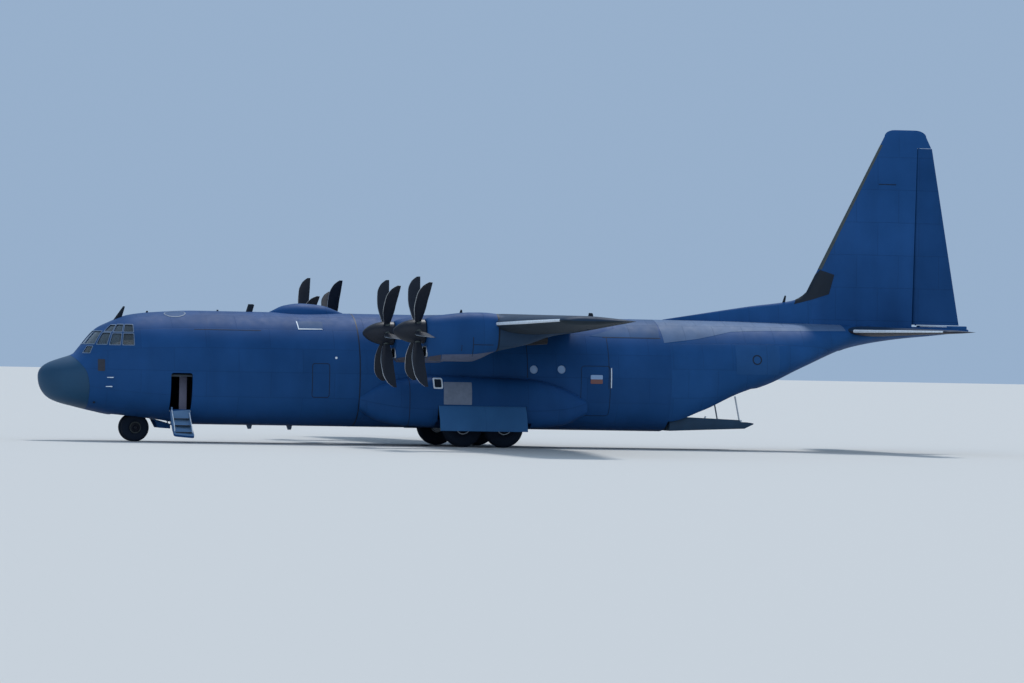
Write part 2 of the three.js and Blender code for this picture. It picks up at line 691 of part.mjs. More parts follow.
// The aft cargo door, drawn up under the tail's roof on its rear hinge
function addAftCargoDoor() {
  const { hinge, height, front, thickness, restAngle } = AFT_DOOR;
  const stations = [hinge, (hinge + front) / 2, front];
  const panel = loft(
    stations.map((station) => {
      const half = aftDoorHalfWidth(station);
      return [[half, -thickness / 2], [half, thickness / 2], [-half, thickness / 2], [-half, -thickness / 2]].map(
        ([y, z]) => [station, y, height + z],
      );
    }),
  );
  const rib = AFT_DOOR_RIB;
  const ribs = rib.shares.map((share) => {
    const station = hinge + share * (front - hinge);
    const half = aftDoorHalfWidth(station) - rib.margin;
    return box(station - rib.halfLength, station + rib.halfLength, -half, half, height + rib.low, height + rib.high);
  });
  const { radius, halfLength, sides } = AFT_DOOR_TUBE;
  const tube = rod([hinge, -halfLength, height], [hinge, halfLength, height], radius, sides);
  const mesh = addPiece("aft_cargo_door", joined([panel, ...ribs, tube]), "paint", [hinge, 0, height]);
  mesh.rotation.y = THREE.MathUtils.degToRad(restAngle);
}

// The ramp hangs level from two lugs at the floor's end
const RAMP = { hinge: 22680, height: 930, front: 22700, halfWidth: 1580 };
const RAMP_LUG = { root: 22400, line: 1000, half: 45, notchHalf: 70, radius: 50, pin: 25, notchEnd: 22800 };
// Outlines seen from the side. Columns: station, height
const RAMP_DECK = [[22700, 680], [25500, 800], [25830, 960], [25830, 1000], [25600, FLOOR_TOP], [22700, FLOOR_TOP]];
const RAMP_RAIL = { width: 90, outline: [[22900, 1000], [25400, 1000], [25300, 1110], [23100, 1190]] };
// The ramp's arms. Columns: station of the foot, station of the top, height of the top
const RAMP_ARMS = [
  [23950, 24050, 1230],
  [25330, 25130, 1960],
];
const RAMP_ARM = { radius: 28, sides: 8, inset: 60, foot: 980 };
const RAMP_SOCKET = { halfLength: 60, width: 110, low: 960, high: 1110 };
const FLOOR_START = 5000;

function addCargoFloor() {
  const end = SHELL_ENDS.centre;
  const room = hullSolid(FLOOR_START, end, { inset: HULL_WALL + SEAT });
  const clear = HOLD_HALF_WIDTH - SEAT;
  const slab = room.intersect(box(FLOOR_START, end, -clear, clear, FLOOR_TOP - FLOOR_DEPTH, FLOOR_TOP));
  const { root, line, half, notchHalf, radius } = RAMP_LUG;
  const { hinge, height } = RAMP;
  const arm = box(root, hinge, line - half, line + half, height - radius, height + radius);
  const eye = rod([hinge, line - half, height], [hinge, line + half, height], radius);
  const pinHalf = notchHalf - SEAT;
  const pin = rod([hinge, line - pinHalf, height], [hinge, line + pinHalf, height], RAMP_LUG.pin);
  addPiece("cargo_floor", joined([slab, bothSides(joined([arm, eye, pin]))]), "interior");
}

function addCargoRamp() {
  const { hinge, height, front, halfWidth } = RAMP;
  const deck = sidePrism(RAMP_DECK, -halfWidth, halfWidth);
  const rail = sidePrism(RAMP_RAIL.outline, halfWidth - RAMP_RAIL.width, halfWidth);
  const { radius, sides, inset, foot } = RAMP_ARM;
  const armLine = halfWidth - inset;
  const arms = RAMP_ARMS.map(([station, topStation, top]) =>
    rod([station, armLine, foot], [topStation, armLine, top], radius, sides),
  );
  const { halfLength, width, low, high } = RAMP_SOCKET;
  const sockets = RAMP_ARMS.map(([station]) =>
    box(station - halfLength, station + halfLength, halfWidth - width, halfWidth, low, high),
  );
  const { line, notchHalf, notchEnd } = RAMP_LUG;
  const notch = box(front - BEYOND, notchEnd, line - notchHalf, line + notchHalf, 0, 2 * FLOOR_TOP);
  const ramp = joined([deck, bothSides(joined([rail, ...arms, ...sockets]))]).subtract(bothSides(notch));
  addPiece("cargo_ramp", ramp, "door", [hinge, 0, height]);
}

// Wheel fairings. Columns: station, top, bottom, outer half width
const SPONSON = [
  [11200, 1800, 1250, 2120],
  [11900, 2180, 880, 2440],
  [12900, 2430, 720, 2720],
  [13850, 2520, 700, 2800],
  [17350, 2450, 700, 2800],
  [18500, 2180, 800, 2640],
  [19500, 1750, 1200, 2160],
];
const SPONSON_FORM = { innerLine: 1300, sides: 16, power: 3 };
const GEAR_DOOR = { from: 13920, to: 17100, top: 1470, bottom: 580, thickness: 32, endGap: 20 };
const GEAR_DOOR_LINES = { hinge: 2745, middle: 3045, bottom: 3145 };

function addSponsons() {
  const { innerLine, sides, power } = SPONSON_FORM;
  const shape = loft(
    SPONSON.map(([station, top, bottom, outer]) =>
      Array.from({ length: sides }, (_, i) => {
        const turn = (2 * Math.PI * i) / sides;
        const [halfWidth, halfHeight] = [(outer - innerLine) / 2, (top - bottom) / 2];
        const y = (innerLine + outer) / 2 + halfWidth * superPower(Math.cos(turn), power);
        return [station, y, (top + bottom) / 2 + halfHeight * superPower(Math.sin(turn), power)];
      }),
    ),
  );
  const hull = hullSolid(SPONSON[0][0] - BEYOND, SPONSON.at(-1)[0] + BEYOND, { inset: -SEAT });
  const { inner, outer: wide } = WALL_REACH;
  const bay = box(BAY.from, BAY.to, inner, BAY.outer, 0, BAY.roof);
  const { from, to, top: doorTop, endGap } = GEAR_DOOR;
  const doorway = box(from - endGap, to + endGap, inner, wide, 0, doorTop);
  addPair("sponson", mainBody(shape.subtract(joined([hull, bay, doorway]))), "paint");
}

function addGearDoors() {
  const { from, to, top, bottom, thickness } = GEAR_DOOR;
  const lines = GEAR_DOOR_LINES;
  const crown = top - SEAT;
  const waist = (crown + bottom) / 2;
  const outline = [
    [lines.hinge, crown],
    [lines.hinge + thickness, crown],
    [lines.middle, waist],
    [lines.bottom + thickness, bottom],
    [lines.bottom, bottom],
    [lines.middle - thickness, waist],
  ];
  addPair("main_gear_door", frontPrism(outline, from, to), "door");
}

// Wing: a centre piece through the roof and two outer panels, with flaps and ailerons behind the hinge line
const wingHinge = ([, lead, chord]) => lead + HINGE_SHARE * chord;
const WING_SPANS = { innerFlap: [2350, 5500], outerFlap: [5685, 12150], aileron: [12350, 19500] };
const innerFlap = movableSurface(WING, ...WING_SPANS.innerFlap, wingHinge, wingPlace);
const outerFlap = movableSurface(WING, ...WING_SPANS.outerFlap, wingHinge, wingPlace);
const aileron = movableSurface(WING, ...WING_SPANS.aileron, wingHinge, wingPlace);

function wingCentre(grow = 0) {
  const rows = [-WING_SPLIT, WING_SPLIT].map((span) => [span, ...WING[0].slice(1)]);
  return foilSolid(rows, wingPlace, grow);
}

function wingPanel(grow = 0) {
  return foilSolid(rowsBetween(WING, WING_SPLIT + SEAT, WING.at(-1)[0]), wingPlace, grow);
}

function addWing() {
  const centre = wingCentre().subtract(bothSides(innerFlap.bay));
  addPiece("wing_centre", centre.add(bothSides(innerFlap.pins)), "paint");
  const cut = wingPanel().subtract(outerFlap.bay.add(aileron.bay));
  addPair("wing", joined([cut, outerFlap.pins, aileron.pins]), "paint");
  addPair("flap_inner", innerFlap.body, "paint");
  addPair("flap_outer", outerFlap.body, "paint");
  addPair("aileron", aileron.body, "paint");
}

// Nacelle sections. Columns: station, top and bottom from the thrust line, half width
const NACELLE = [
  [11790, 430, -900, 470],
  [11930, 490, -1000, 560],
  [12620, 610, -820, 620],
  [13670, 690, -630, 620],
  [14400, 640, -470, 590],
  [15600, 250, -330, 480],
  [16900, 200, 40, 180],
];
const NACELLE_FORM = { sides: 12, power: 2.3, wall: 50 };
const NACELLE_ENDS = { front: NACELLE[0][0], rear: NACELLE.at(-1)[0] };
const NACELLE_CAVITY = { from: 12080, to: 15200 };
const INTAKE = { from: 11700, to: 12200, halfWidth: 330, low: -840, high: -520 };
// Exhaust pipe and its bore. Columns: station, height from the thrust line, radius at each end
const EXHAUST = {
  sides: 10,
  pipe: [[14900, -180, 230], [16050, -400, 200]],
  bore: [[15060, -211, 180], [16200, -429, 165]],
};
const SHAFT = { radius: 88, hole: 89.4, sides: 10 };
const ENGINE = { from: 12150, to: 14080, radius: 330, sink: 10 };

function nacelleSolid(from, to, line, thrust, inset) {
  const stations = [from, ...NACELLE.map((row) => row[0]).filter((s) => s > from && s < to), to];
  return loft(
    stations.map((station) => {
      const [, top, bottom, halfWidth] = rowAt(NACELLE, station);
      const middle = (top + bottom) / 2;
      const reach = (top - bottom) / 2 - inset;
      return Array.from({ length: NACELLE_FORM.sides }, (_, i) => {
        const turn = (2 * Math.PI * i) / NACELLE_FORM.sides;
        const y = line + (halfWidth - inset) * superPower(Math.cos(turn), NACELLE_FORM.power);
        return [station, y, thrust + middle + reach * superPower(Math.sin(turn), NACELLE_FORM.power)];
      });
    }),
  );
}

// A tapered bar of a nacelle's exhaust
function exhaustBar([[front, frontDrop, frontRadius], [rear, rearDrop, rearRadius]], line, thrust) {
  const from = [front, line, thrust + frontDrop];
  return rod(from, [rear, line, thrust + rearDrop], frontRadius, EXHAUST.sides, rearRadius);
}

function addNacelle(number, line, thrust) {
  const outer = nacelleSolid(NACELLE_ENDS.front, NACELLE_ENDS.rear, line, thrust, 0);
  const cavity = nacelleSolid(NACELLE_CAVITY.from, NACELLE_CAVITY.to, line, thrust, NACELLE_FORM.wall);
  const { halfWidth, low, high } = INTAKE;
  const intake = box(INTAKE.from, INTAKE.to, line - halfWidth, line + halfWidth, thrust + low, thrust + high);
  const hole = rod([INTAKE.from, line, thrust], [INTAKE.to, line, thrust], SHAFT.hole, SHAFT.sides);
  const [pipe, bore] = [EXHAUST.pipe, EXHAUST.bore].map((ends) => exhaustBar(ends, line, thrust));
  const panel = Math.abs(line) < WING_SPLIT ? wingCentre(SEAT) : wingPanel(SEAT);
  const wing = line < 0 ? mirrored(panel) : panel;
  const shell = outer.add(pipe).subtract(joined([cavity, intake, hole, bore, wing]));
  addPiece(`nacelle_${number}`, mainBody(shell), "paint");
  const { from, to, radius, sink } = ENGINE;
  const block = rod([from, line, thrust], [to, line, thrust], radius, SHAFT.sides);
  const shaft = rod([SPINNER_REAR + SEAT, line, thrust], [from + sink, line, thrust], SHAFT.radius, SHAFT.sides);
  addPiece(`engine_${number}`, block.add(shaft), "engine");
}

// Propeller: a spinner and six feathered blades. Columns: radius, distance behind the blades' plane
const SPINNER = [[0, -820], [120, -760], [270, -560], [370, -300], [415, 0], [415, 250], [0, 250]];
const SPINNER_REAR = PROPELLER_STATION + SPINNER.at(-1)[1];
const SPINNER_SIDES = 12;
const BLADE_COUNT = 6;
// Columns: radius, chord, thickness, sweep aft, twist in degrees
const BLADE = [
  [330, 190, 170, 0, 16],
  [620, 330, 95, -10, 13],
  [1050, 440, 56, -15, 7],
  [1550, 430, 36, 20, 0],
  [1900, 300, 22, 110, -5],
  [2055, 120, 12, 210, -7],
];

const BLADE_CREST = 0.2;

function bladeSection([radius, chord, thickness, sweep, twist]) {
  const [c, t] = [chord / 2, thickness / 2];
  const corners = [[-c, 0], [-c * BLADE_CREST, t], [c, 0], [-c * BLADE_CREST, -t]];
  const angle = THREE.MathUtils.degToRad(twist);
  return corners.map(([x, y]) => [
    x * Math.cos(angle) - y * Math.sin(angle) + sweep,
    x * Math.sin(angle) + y * Math.cos(angle),
    radius,
  ]);
}

function addPropeller(number, line, thrust, rest) {
  const blade = loft(BLADE.map(bladeSection));
  const step = 360 / BLADE_COUNT;
  const blades = Array.from({ length: BLADE_COUNT }, (_, i) => blade.rotate([rest + step * i, 0, 0]));
  const solid = joined([turnedAboutX(SPINNER, SPINNER_SIDES), ...blades]);
  const pivot = [PROPELLER_STATION, line, thrust];
  addPiece(`propeller_${number}`, solid.translate(pivot), "dark", pivot);
}

function addPowerplants() {
  const { inboard, outboard } = NACELLE_LINES;
  // Columns: span position, height of the thrust line, turn of the resting propeller in degrees
  const places = [
    [-outboard, THRUST_HEIGHT.outboard, -24],
    [-inboard, THRUST_HEIGHT.inboard, -24],
    [inboard, THRUST_HEIGHT.inboard, 19],
    [outboard, THRUST_HEIGHT.outboard, -10],
  ];
  places.forEach(([line, thrust, rest], i) => {
    addNacelle(i + 1, line, thrust);
    addPropeller(i + 1, line, thrust, rest);
  });
}

// Tail surfaces
const RUDDER_SPAN = [4690, 11150];
const ELEVATOR_SPAN = [1000, 7600];
const elevator = movableSurface(TAILPLANE, ...ELEVATOR_SPAN, () => ELEVATOR_HINGE, wingPlace);
const rudder = movableSurface(FIN, ...RUDDER_SPAN, () => RUDDER_HINGE, finPlace);

const FIN_WALL = 90;
const FIN_ROOM = { front: 27000, halfWidth: 500, low: 4000, high: 11000 };
const STABILIZER = { wall: 30, front: 28000, reach: 7000, spar: 31260, depth: 500 };
const STABILIZER_MOUTH = { rear: 29700, halfWidth: 120, low: 4360, high: 4440 };

// Dorsal fillet ahead of the fin. Columns: station, top, half width at the roof
const DORSAL_FORM = { foot: 4300, shoulder: 4650, crest: 0.3 };
const DORSAL = [
  [22780, 4700, 60],
  [26040, 5240, 200],
  [27680, 5490, 290],
  [28120, 5740, 300],
  [28300, 6000, 300],
  [29200, 6100, 250],
];

// The stabilizer's hollow, which opens through its leading edge inside the tail
function stabilizerHollow() {
  const { wall, front, reach, spar, depth } = STABILIZER;
  const inside = foilSolid(rowsBetween(mirrorRows(TAILPLANE), -reach, reach), wingPlace, -wall);
  const ahead = box(front, spar, -reach, reach, TAILPLANE_HEIGHT - depth, TAILPLANE_HEIGHT + depth);
  const { rear, halfWidth, low, high } = STABILIZER_MOUTH;
  const mouth = box(front, rear, -halfWidth, halfWidth, low, high);
  return inside.intersect(ahead).add(mouth);
}

function addTailSurfaces() {
  const tailplane = foilSolid(mirrorRows(TAILPLANE), wingPlace);
  const cut = joined([bothSides(elevator.bay), stabilizerHollow()]);
  const stabilizer = tailplane.subtract(cut).add(bothSides(elevator.pins));
  addPiece("stabilizer", stabilizer, "paint");
  addPair("elevator", elevator.body, "paint");
  const { foot, shoulder, crest } = DORSAL_FORM;
  const dorsal = loft(
    DORSAL.map(([station, top, half]) => {
      const starboard = [[half * crest, top], [half, shoulder], [half, foot]];
      const port = starboard.map(([y, z]) => [-y, z]).reverse();
      return [...port, ...starboard].map(([y, z]) => [station, y, z]);
    }),
  );
  const hull = hullSolid(DORSAL[0][0] - BEYOND, LENGTH, { inset: -SEAT });
  const slot = foilSolid(mirrorRows(TAILPLANE), wingPlace, SEAT);
  const spar = RUDDER_HINGE - noseRadius(rowAt(FIN, RUDDER_SPAN[0]), RUDDER_HINGE) - CLEARANCE;
  const { front, halfWidth, low, high } = FIN_ROOM;
  const tailRoom = box(spar, LENGTH, -halfWidth, halfWidth, low, RUDDER_SPAN[0]);
  const ahead = box(front, spar - FIN_WALL, -halfWidth, halfWidth, 0, high);
  const inside = foilSolid(FIN, finPlace, -FIN_WALL).intersect(ahead);
  const skin = foilSolid(FIN, finPlace).subtract(rudder.bay).add(dorsal);
  const fin = skin.subtract(joined([hull, slot, tailRoom, inside]));
  const topRoom = box(front, LENGTH, -halfWidth, halfWidth, RUDDER_SPAN[1], LENGTH);
  const topPin = rudder.pins.intersect(topRoom);
  addPiece("fin", joined([mainBody(fin), topPin]), "paint");
  addPiece("rudder", rudder.body, "paint");
}

// Main gear: two struts a side, each with its axle
const MAIN_LEG = { line: 1770, sides: 10 };
const MAIN_CYLINDER = { radius: 110, low: 1250 };
const MAIN_PISTON = { radius: 80, low: 600, high: 1300 };
const MAIN_AXLE = { inner: 1680, outer: 2440 };
const MAIN_BEAM = { halfWidth: 60, low: 1480, high: 1620 };
const MAIN_TYRE = { halfWidth: 255, rimHalfWidth: 205 };
const AXLE_PLAY = 2;

// Radius of a wheel's corners where its flats lie at a radius
function cornerRadius(radius) {
  return radius / Math.cos(Math.PI / WHEEL_SIDES);
}

function addMainGear() {
  const { front, rear } = MAIN_WHEEL_STATIONS;
  const axleHeight = MAIN_TYRE_RADIUS;
  const { line, sides } = MAIN_LEG;
  const { halfWidth, low, high } = MAIN_BEAM;
  const legs = [front, rear].map((station) =>
    joined([
      rod([station, line, MAIN_CYLINDER.low], [station, line, BAY.roof - SEAT], MAIN_CYLINDER.radius, sides),
      rod([station, line, MAIN_PISTON.low], [station, line, MAIN_PISTON.high], MAIN_PISTON.radius, sides),
      rod([station, MAIN_AXLE.inner, axleHeight], [station, MAIN_AXLE.outer, axleHeight], MAIN_AXLE_RADIUS),
    ]),
  );
  const beam = box(front, rear, line - halfWidth, line + halfWidth, low, high);
  addPair("main_legs", joined([...legs, beam]), "gear");
  const tyre = tyreRing(MAIN_TYRE_RADIUS, MAIN_RIM_RADIUS, MAIN_TYRE.halfWidth);
  const rim = rimDisc(MAIN_RIM_RADIUS, MAIN_AXLE_RADIUS + AXLE_PLAY, MAIN_TYRE.rimHalfWidth);
  Object.entries(MAIN_WHEEL_STATIONS).forEach(([place, station]) => {
    [["left", -1], ["right", 1]].forEach(([side, sign]) => {
      const centre = [station, sign * MAIN_WHEEL_LINE, axleHeight];
      addPiece(`main_tyre_${side}_${place}`, tyre.translate(centre), "tyre", centre);
      addPiece(`main_wheel_${side}_${place}`, rim.translate(centre), "gear", centre);
    });
  });
}

// A tyre's side between its rim and its crown. Columns: share of the radius, share of the half width
const TYRE_SIDE = [
  [0.64, 1],
  [0.9, 0.87],
];
const TYRE_ENDS = { bead: 0.66, crown: 0.5 };

function tyreRing(radius, rimRadius, halfWidth) {
  const outer = cornerRadius(radius);
  const inner = cornerRadius(rimRadius) + SEAT;
  const middle = TYRE_SIDE.map(([share, width]) => [radius * share, width]);
  const side = [[inner, TYRE_ENDS.bead], ...middle, [outer, TYRE_ENDS.crown]];
  const front = side.map(([r, share]) => [r, -halfWidth * share]);
  const back = side.map(([r, share]) => [r, halfWidth * share]).reverse();
  return turnedAboutY([...front, ...back, front[0]]);
}

// A rim's hub and dish, as shares of its half width, and where the dish is deepest
const RIM = { hub: 0.7, dish: 0.4, dishAt: 0.65 };

function rimDisc(radius, bore, halfWidth) {
  const outer = cornerRadius(radius);
  const side = [[bore, RIM.hub], [outer * RIM.dishAt, RIM.dish], [outer, 1]];
  const front = side.map(([r, share]) => [r, -halfWidth * share]);
  const back = side.map(([r, share]) => [r, halfWidth * share]).reverse();
  return turnedAboutY([...front, ...back, front[0]]);
}

// Nose gear: a fixed leg in the bay, and a steering fork that carries twin wheels on one axle
const NOSE_LEG = { radius: 95, collar: 930 };
const NOSE_BRACE = { radius: 45, sides: 10, foot: 1250, top: [4400, 1890] };
const NOSE_BRACKET = [4300, 4500, -60, 60, 1830];
const NOSE_TRUNNION = { radius: 60, height: 1750 };
const NOSE_FORK = { radius: 62, collarRadius: 105, collarDepth: 60, hubRadius: 85, hubHalf: 110 };
const NOSE_TYRE = { halfWidth: 162, rimHalfWidth: 125, axleEnd: 425, sink: 10 };

function addNoseGear() {
  const x = NOSE_WHEEL_STATION;
  const axleHeight = NOSE_TYRE_RADIUS;
  const roof = NOSE_BAY.roof - SEAT;
  const [braceStation, braceTop] = NOSE_BRACE.top;
  const trunnionEnd = NOSE_BAY.halfWidth - SEAT;
  const { height } = NOSE_TRUNNION;
  const leg = joined([
    rod([x, 0, NOSE_LEG.collar + SEAT], [x, 0, roof], NOSE_LEG.radius),
    rod([x, 0, NOSE_BRACE.foot], [braceStation, 0, braceTop], NOSE_BRACE.radius, NOSE_BRACE.sides),
    box(...NOSE_BRACKET, roof),
    rod([x, -trunnionEnd, height], [x, trunnionEnd, height], NOSE_TRUNNION.radius),
  ]);
  addPiece("nose_leg", leg, "gear");
  const { radius, collarRadius, collarDepth, hubRadius, hubHalf } = NOSE_FORK;
  const boreHalf = 2 * hubHalf;
  const fork = joined([
    rod([x, 0, axleHeight], [x, 0, NOSE_LEG.collar], radius),
    rod([x, 0, NOSE_LEG.collar - collarDepth], [x, 0, NOSE_LEG.collar], collarRadius),
    rod([x, -hubHalf, axleHeight], [x, hubHalf, axleHeight], hubRadius),
  ]).subtract(rod([x, -boreHalf, axleHeight], [x, boreHalf, axleHeight], NOSE_AXLE_RADIUS + AXLE_PLAY));
  addPiece("nose_fork", fork, "gear", [x, 0, axleHeight]);
  const { halfWidth, rimHalfWidth, axleEnd, sink } = NOSE_TYRE;
  const rim = rimDisc(NOSE_RIM_RADIUS, NOSE_AXLE_RADIUS - sink, rimHalfWidth);
  const axle = rod([x, -axleEnd, axleHeight], [x, axleEnd, axleHeight], NOSE_AXLE_RADIUS);
  const rims = bothSides(rim.translate([x, NOSE_WHEEL_LINE, axleHeight]));
  addPiece("nose_wheels", axle.add(rims), "gear", [x, 0, axleHeight]);
  const tyre = tyreRing(NOSE_TYRE_RADIUS, NOSE_RIM_RADIUS, halfWidth);
  [["left", -1], ["right", 1]].forEach(([side, sign]) => {
    const centre = [x, sign * NOSE_WHEEL_LINE, axleHeight];
    addPiece(`nose_tyre_${side}`, tyre.translate(centre), "tyre", centre);
  });
}

addRadome();
addCockpitShell();
addWindshield();
addCrewDoor();
addFlightDeck();
addSeats();
addForwardFuselage();
addCentreFuselage();
addParatroopDoors();
addTailFuselage();
addAftCargoDoor();
addCargoFloor();
addCargoRamp();
addSponsons();
addGearDoors();
addWing();
addPowerplants();
addTailSurfaces();
addMainGear();
addNoseGear();

export default aircraft;
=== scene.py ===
"""Looks of the military transport plane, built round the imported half-scale frame.

Shapes are drawn in full-size millimetres: stations run aft from the nose tip, spans to starboard
and heights up from the ground. Shape.build turns them into the model's metres.
"""

from __future__ import annotations

import json
import logging
import math
from dataclasses import dataclass, field
from enum import Enum
from typing import Callable, Iterable, Sequence

import bmesh
import bpy
import numpy as np
from mathutils import Matrix, Vector

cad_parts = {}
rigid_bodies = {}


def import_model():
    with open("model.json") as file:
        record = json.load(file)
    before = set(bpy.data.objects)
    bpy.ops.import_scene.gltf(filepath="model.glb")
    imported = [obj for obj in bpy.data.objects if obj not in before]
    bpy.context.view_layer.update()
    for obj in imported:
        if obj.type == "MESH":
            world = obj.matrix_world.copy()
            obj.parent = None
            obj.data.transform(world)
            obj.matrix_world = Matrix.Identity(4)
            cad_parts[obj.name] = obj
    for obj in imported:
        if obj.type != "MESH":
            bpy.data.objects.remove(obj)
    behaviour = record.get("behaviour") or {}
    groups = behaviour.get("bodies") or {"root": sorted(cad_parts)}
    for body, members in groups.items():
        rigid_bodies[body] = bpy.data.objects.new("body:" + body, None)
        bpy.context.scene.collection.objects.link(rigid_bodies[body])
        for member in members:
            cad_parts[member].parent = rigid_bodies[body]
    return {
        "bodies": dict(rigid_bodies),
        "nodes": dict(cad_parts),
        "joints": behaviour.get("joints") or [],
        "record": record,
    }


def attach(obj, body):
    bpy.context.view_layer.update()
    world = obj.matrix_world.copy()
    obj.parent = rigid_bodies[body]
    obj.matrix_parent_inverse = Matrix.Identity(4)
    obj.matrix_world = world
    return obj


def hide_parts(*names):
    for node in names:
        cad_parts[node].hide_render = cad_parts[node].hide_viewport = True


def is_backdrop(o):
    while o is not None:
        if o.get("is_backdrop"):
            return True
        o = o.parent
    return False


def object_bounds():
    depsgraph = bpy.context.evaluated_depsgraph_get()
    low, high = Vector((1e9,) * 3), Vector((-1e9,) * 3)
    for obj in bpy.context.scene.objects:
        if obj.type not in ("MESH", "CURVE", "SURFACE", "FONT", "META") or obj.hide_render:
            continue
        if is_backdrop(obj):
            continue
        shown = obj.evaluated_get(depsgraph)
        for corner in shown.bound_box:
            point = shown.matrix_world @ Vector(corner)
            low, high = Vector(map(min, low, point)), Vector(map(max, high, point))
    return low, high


LOG = logging.getLogger("transport_plane")
# Metres of the model in a full-size millimetre
MM = 0.0005
LENGTH = 34370.0
MIDDLE = LENGTH / 2
ROUND_CORNER_STEPS = 4
DISC_SIDES = 32
# A span beyond the hull's side, and the spans of a tool through the starboard flank
BEYOND = 3000
FLANK = (1000, BEYOND)
# Heights that a tool through the upper skin spans
ABOVE = (3000, 6000)
# A plate's thickness, the margin of its layer and the distance between the layer's sections
PLATE_THICKNESS, PLATE_MARGIN, PLATE_STEP = 12, 60, 130

Point = tuple[float, float, float]
Flat = tuple[float, float]
Loop = list[Point]
Material = bpy.types.Material
Object = bpy.types.Object
Socket = bpy.types.NodeSocket


class Axis(Enum):
    """The direction along which a flat outline is drawn out."""

    STATION = 0
    SPAN = 1
    HEIGHT = 2


class Side(Enum):
    """The side of the plane's centre plane on which a piece lies."""

    LEFT = -1
    RIGHT = 1


SIDES = ((Side.LEFT, "left"), (Side.RIGHT, "right"))


class Cut(Enum):
    """What a cutting shape does to a piece."""

    AWAY = "DIFFERENCE"
    KEEP = "INTERSECT"


@dataclass
class Shape:
    """Points in full-size millimetres and the tagged faces between them."""

    points: list[Point] = field(default_factory=list)
    faces: list[tuple[int, ...]] = field(default_factory=list)
    tags: list[int] = field(default_factory=list)

    def add(self, points: Iterable[Point], faces: Iterable[Sequence[int]], tag: int = 0) -> Shape:
        """Adds points and the faces between them.

        Args:
            points: new points.
            faces: faces whose numbers count from the first new point.
            tag: number of the finish that the faces take.

        Returns:
            This shape.
        """
        start = len(self.points)
        self.points.extend(points)
        new = [tuple(i + start for i in face) for face in faces]
        self.faces.extend(new)
        self.tags.extend([tag] * len(new))
        return self

    def join(self, *others: Shape) -> Shape:
        """Adds other shapes to this one.

        Args:
            others: the shapes to add.

        Returns:
            This shape.
        """
        for other in others:
            start = len(self.points)
            self.points.extend(other.points)
            self.faces.extend(tuple(i + start for i in face) for face in other.faces)
            self.tags.extend(other.tags)
        return self

    def changed(self, change: Callable[[Point], Point], flip: bool = False) -> Shape:
        """Makes a copy whose points are changed.

        Args:
            change: gives a point's new place.
            flip: whether the faces turn round, as a mirror does.

        Returns:
            The changed copy.
        """
        faces = [tuple(reversed(face)) if flip else face for face in self.faces]
        return Shape([change(p) for p in self.points], faces, list(self.tags))

    def moved(self, station: float = 0, span: float = 0, height: float = 0) -> Shape:
        """Returns a copy moved by distances."""
        return self.changed(lambda p: (p[0] + station, p[1] + span, p[2] + height))

    def mirrored(self) -> Shape:
        """Returns a copy on the other side of the centre plane."""
        return self.changed(lambda p: (p[0], -p[1], p[2]), flip=True)

    def both(self) -> Shape:
        """Returns this shape with its mirror image."""
        return Shape().join(self, self.mirrored())

    def on(self, side: Side) -> Shape:
        """Returns this starboard shape on the asked side."""
        return self if side is Side.RIGHT else self.mirrored()

    def tagged(self, tag: int, test: Callable[[Vector], bool] | None = None) -> Shape:
        """Gives a tag to the faces whose middle passes a test.

        Args:
            tag: number of the finish.
            test: tells from a face's middle whether it takes the tag, or None for every face.

        Returns:
            This shape.
        """
        for number, face in enumerate(self.faces):
            middle = sum((Vector(self.points[i]) for i in face), Vector()) / len(face)
            if test is None or test(middle):
                self.tags[number] = tag
        return self

    def turned(self, axis: Axis, degrees: float, centre: Point) -> Shape:
        """Makes a copy turned about a line.

        Args:
            axis: direction of the line.
            degrees: how far, by the right-hand rule.
            centre: a point on the line.

        Returns:
            The turned copy.
        """
        turn = Matrix.Rotation(math.radians(degrees), 3, "XYZ"[axis.value])
        middle = Vector(centre)
        return self.changed(lambda p: tuple(turn @ (Vector(p) - middle) + middle))

    def build(self, name: str, finishes: Sequence[Material] = ()) -> Object:
        """Makes a Blender object of this shape.

        Args:
            name: the object's name.
            finishes: materials in the order of the tags.

        Returns:
            The object, in the model's metres.
        """
        mesh = bpy.data.meshes.new(name)
        places = [((x - MIDDLE) * MM, y * MM, z * MM) for x, y, z in self.points]
        mesh.from_pydata(places, [], self.faces)
        for finish in finishes:
            mesh.materials.append(finish)
        mesh.polygons.foreach_set("material_index", self.tags)
        work = bmesh.new()
        work.from_mesh(mesh)
        bmesh.ops.remove_doubles(work, verts=work.verts, dist=1e-6)
        bmesh.ops.recalc_face_normals(work, faces=work.faces)
        work.to_mesh(mesh)
        work.free()
        made = bpy.data.objects.new(name, mesh)
        bpy.context.scene.collection.objects.link(made)
        return made


def loft(loops: Sequence[Loop], tag: int = 0, capped: bool = True, wrap: bool = True) -> Shape:
    """Skins loops of equal length.

    Args:
        loops: the sections in order.
        tag: number of the finish.
        capped: whether both ends are closed with flat faces.
        wrap: whether each loop closes on itself.

    Returns:
        The skin.
    """
    count = len(loops[0])
    faces = []
    for ring in range(len(loops) - 1):
        for i in range(count if wrap else count - 1):
            a, b = ring * count + i, ring * count + (i + 1) % count
            faces.append((a, b, b + count, a + count))
    if capped:
        last = (len(loops) - 1) * count
        faces.append(tuple(reversed(range(count))))
        faces.append(tuple(range(last, last + count)))
    return Shape().add([p for loop in loops for p in loop], faces, tag)


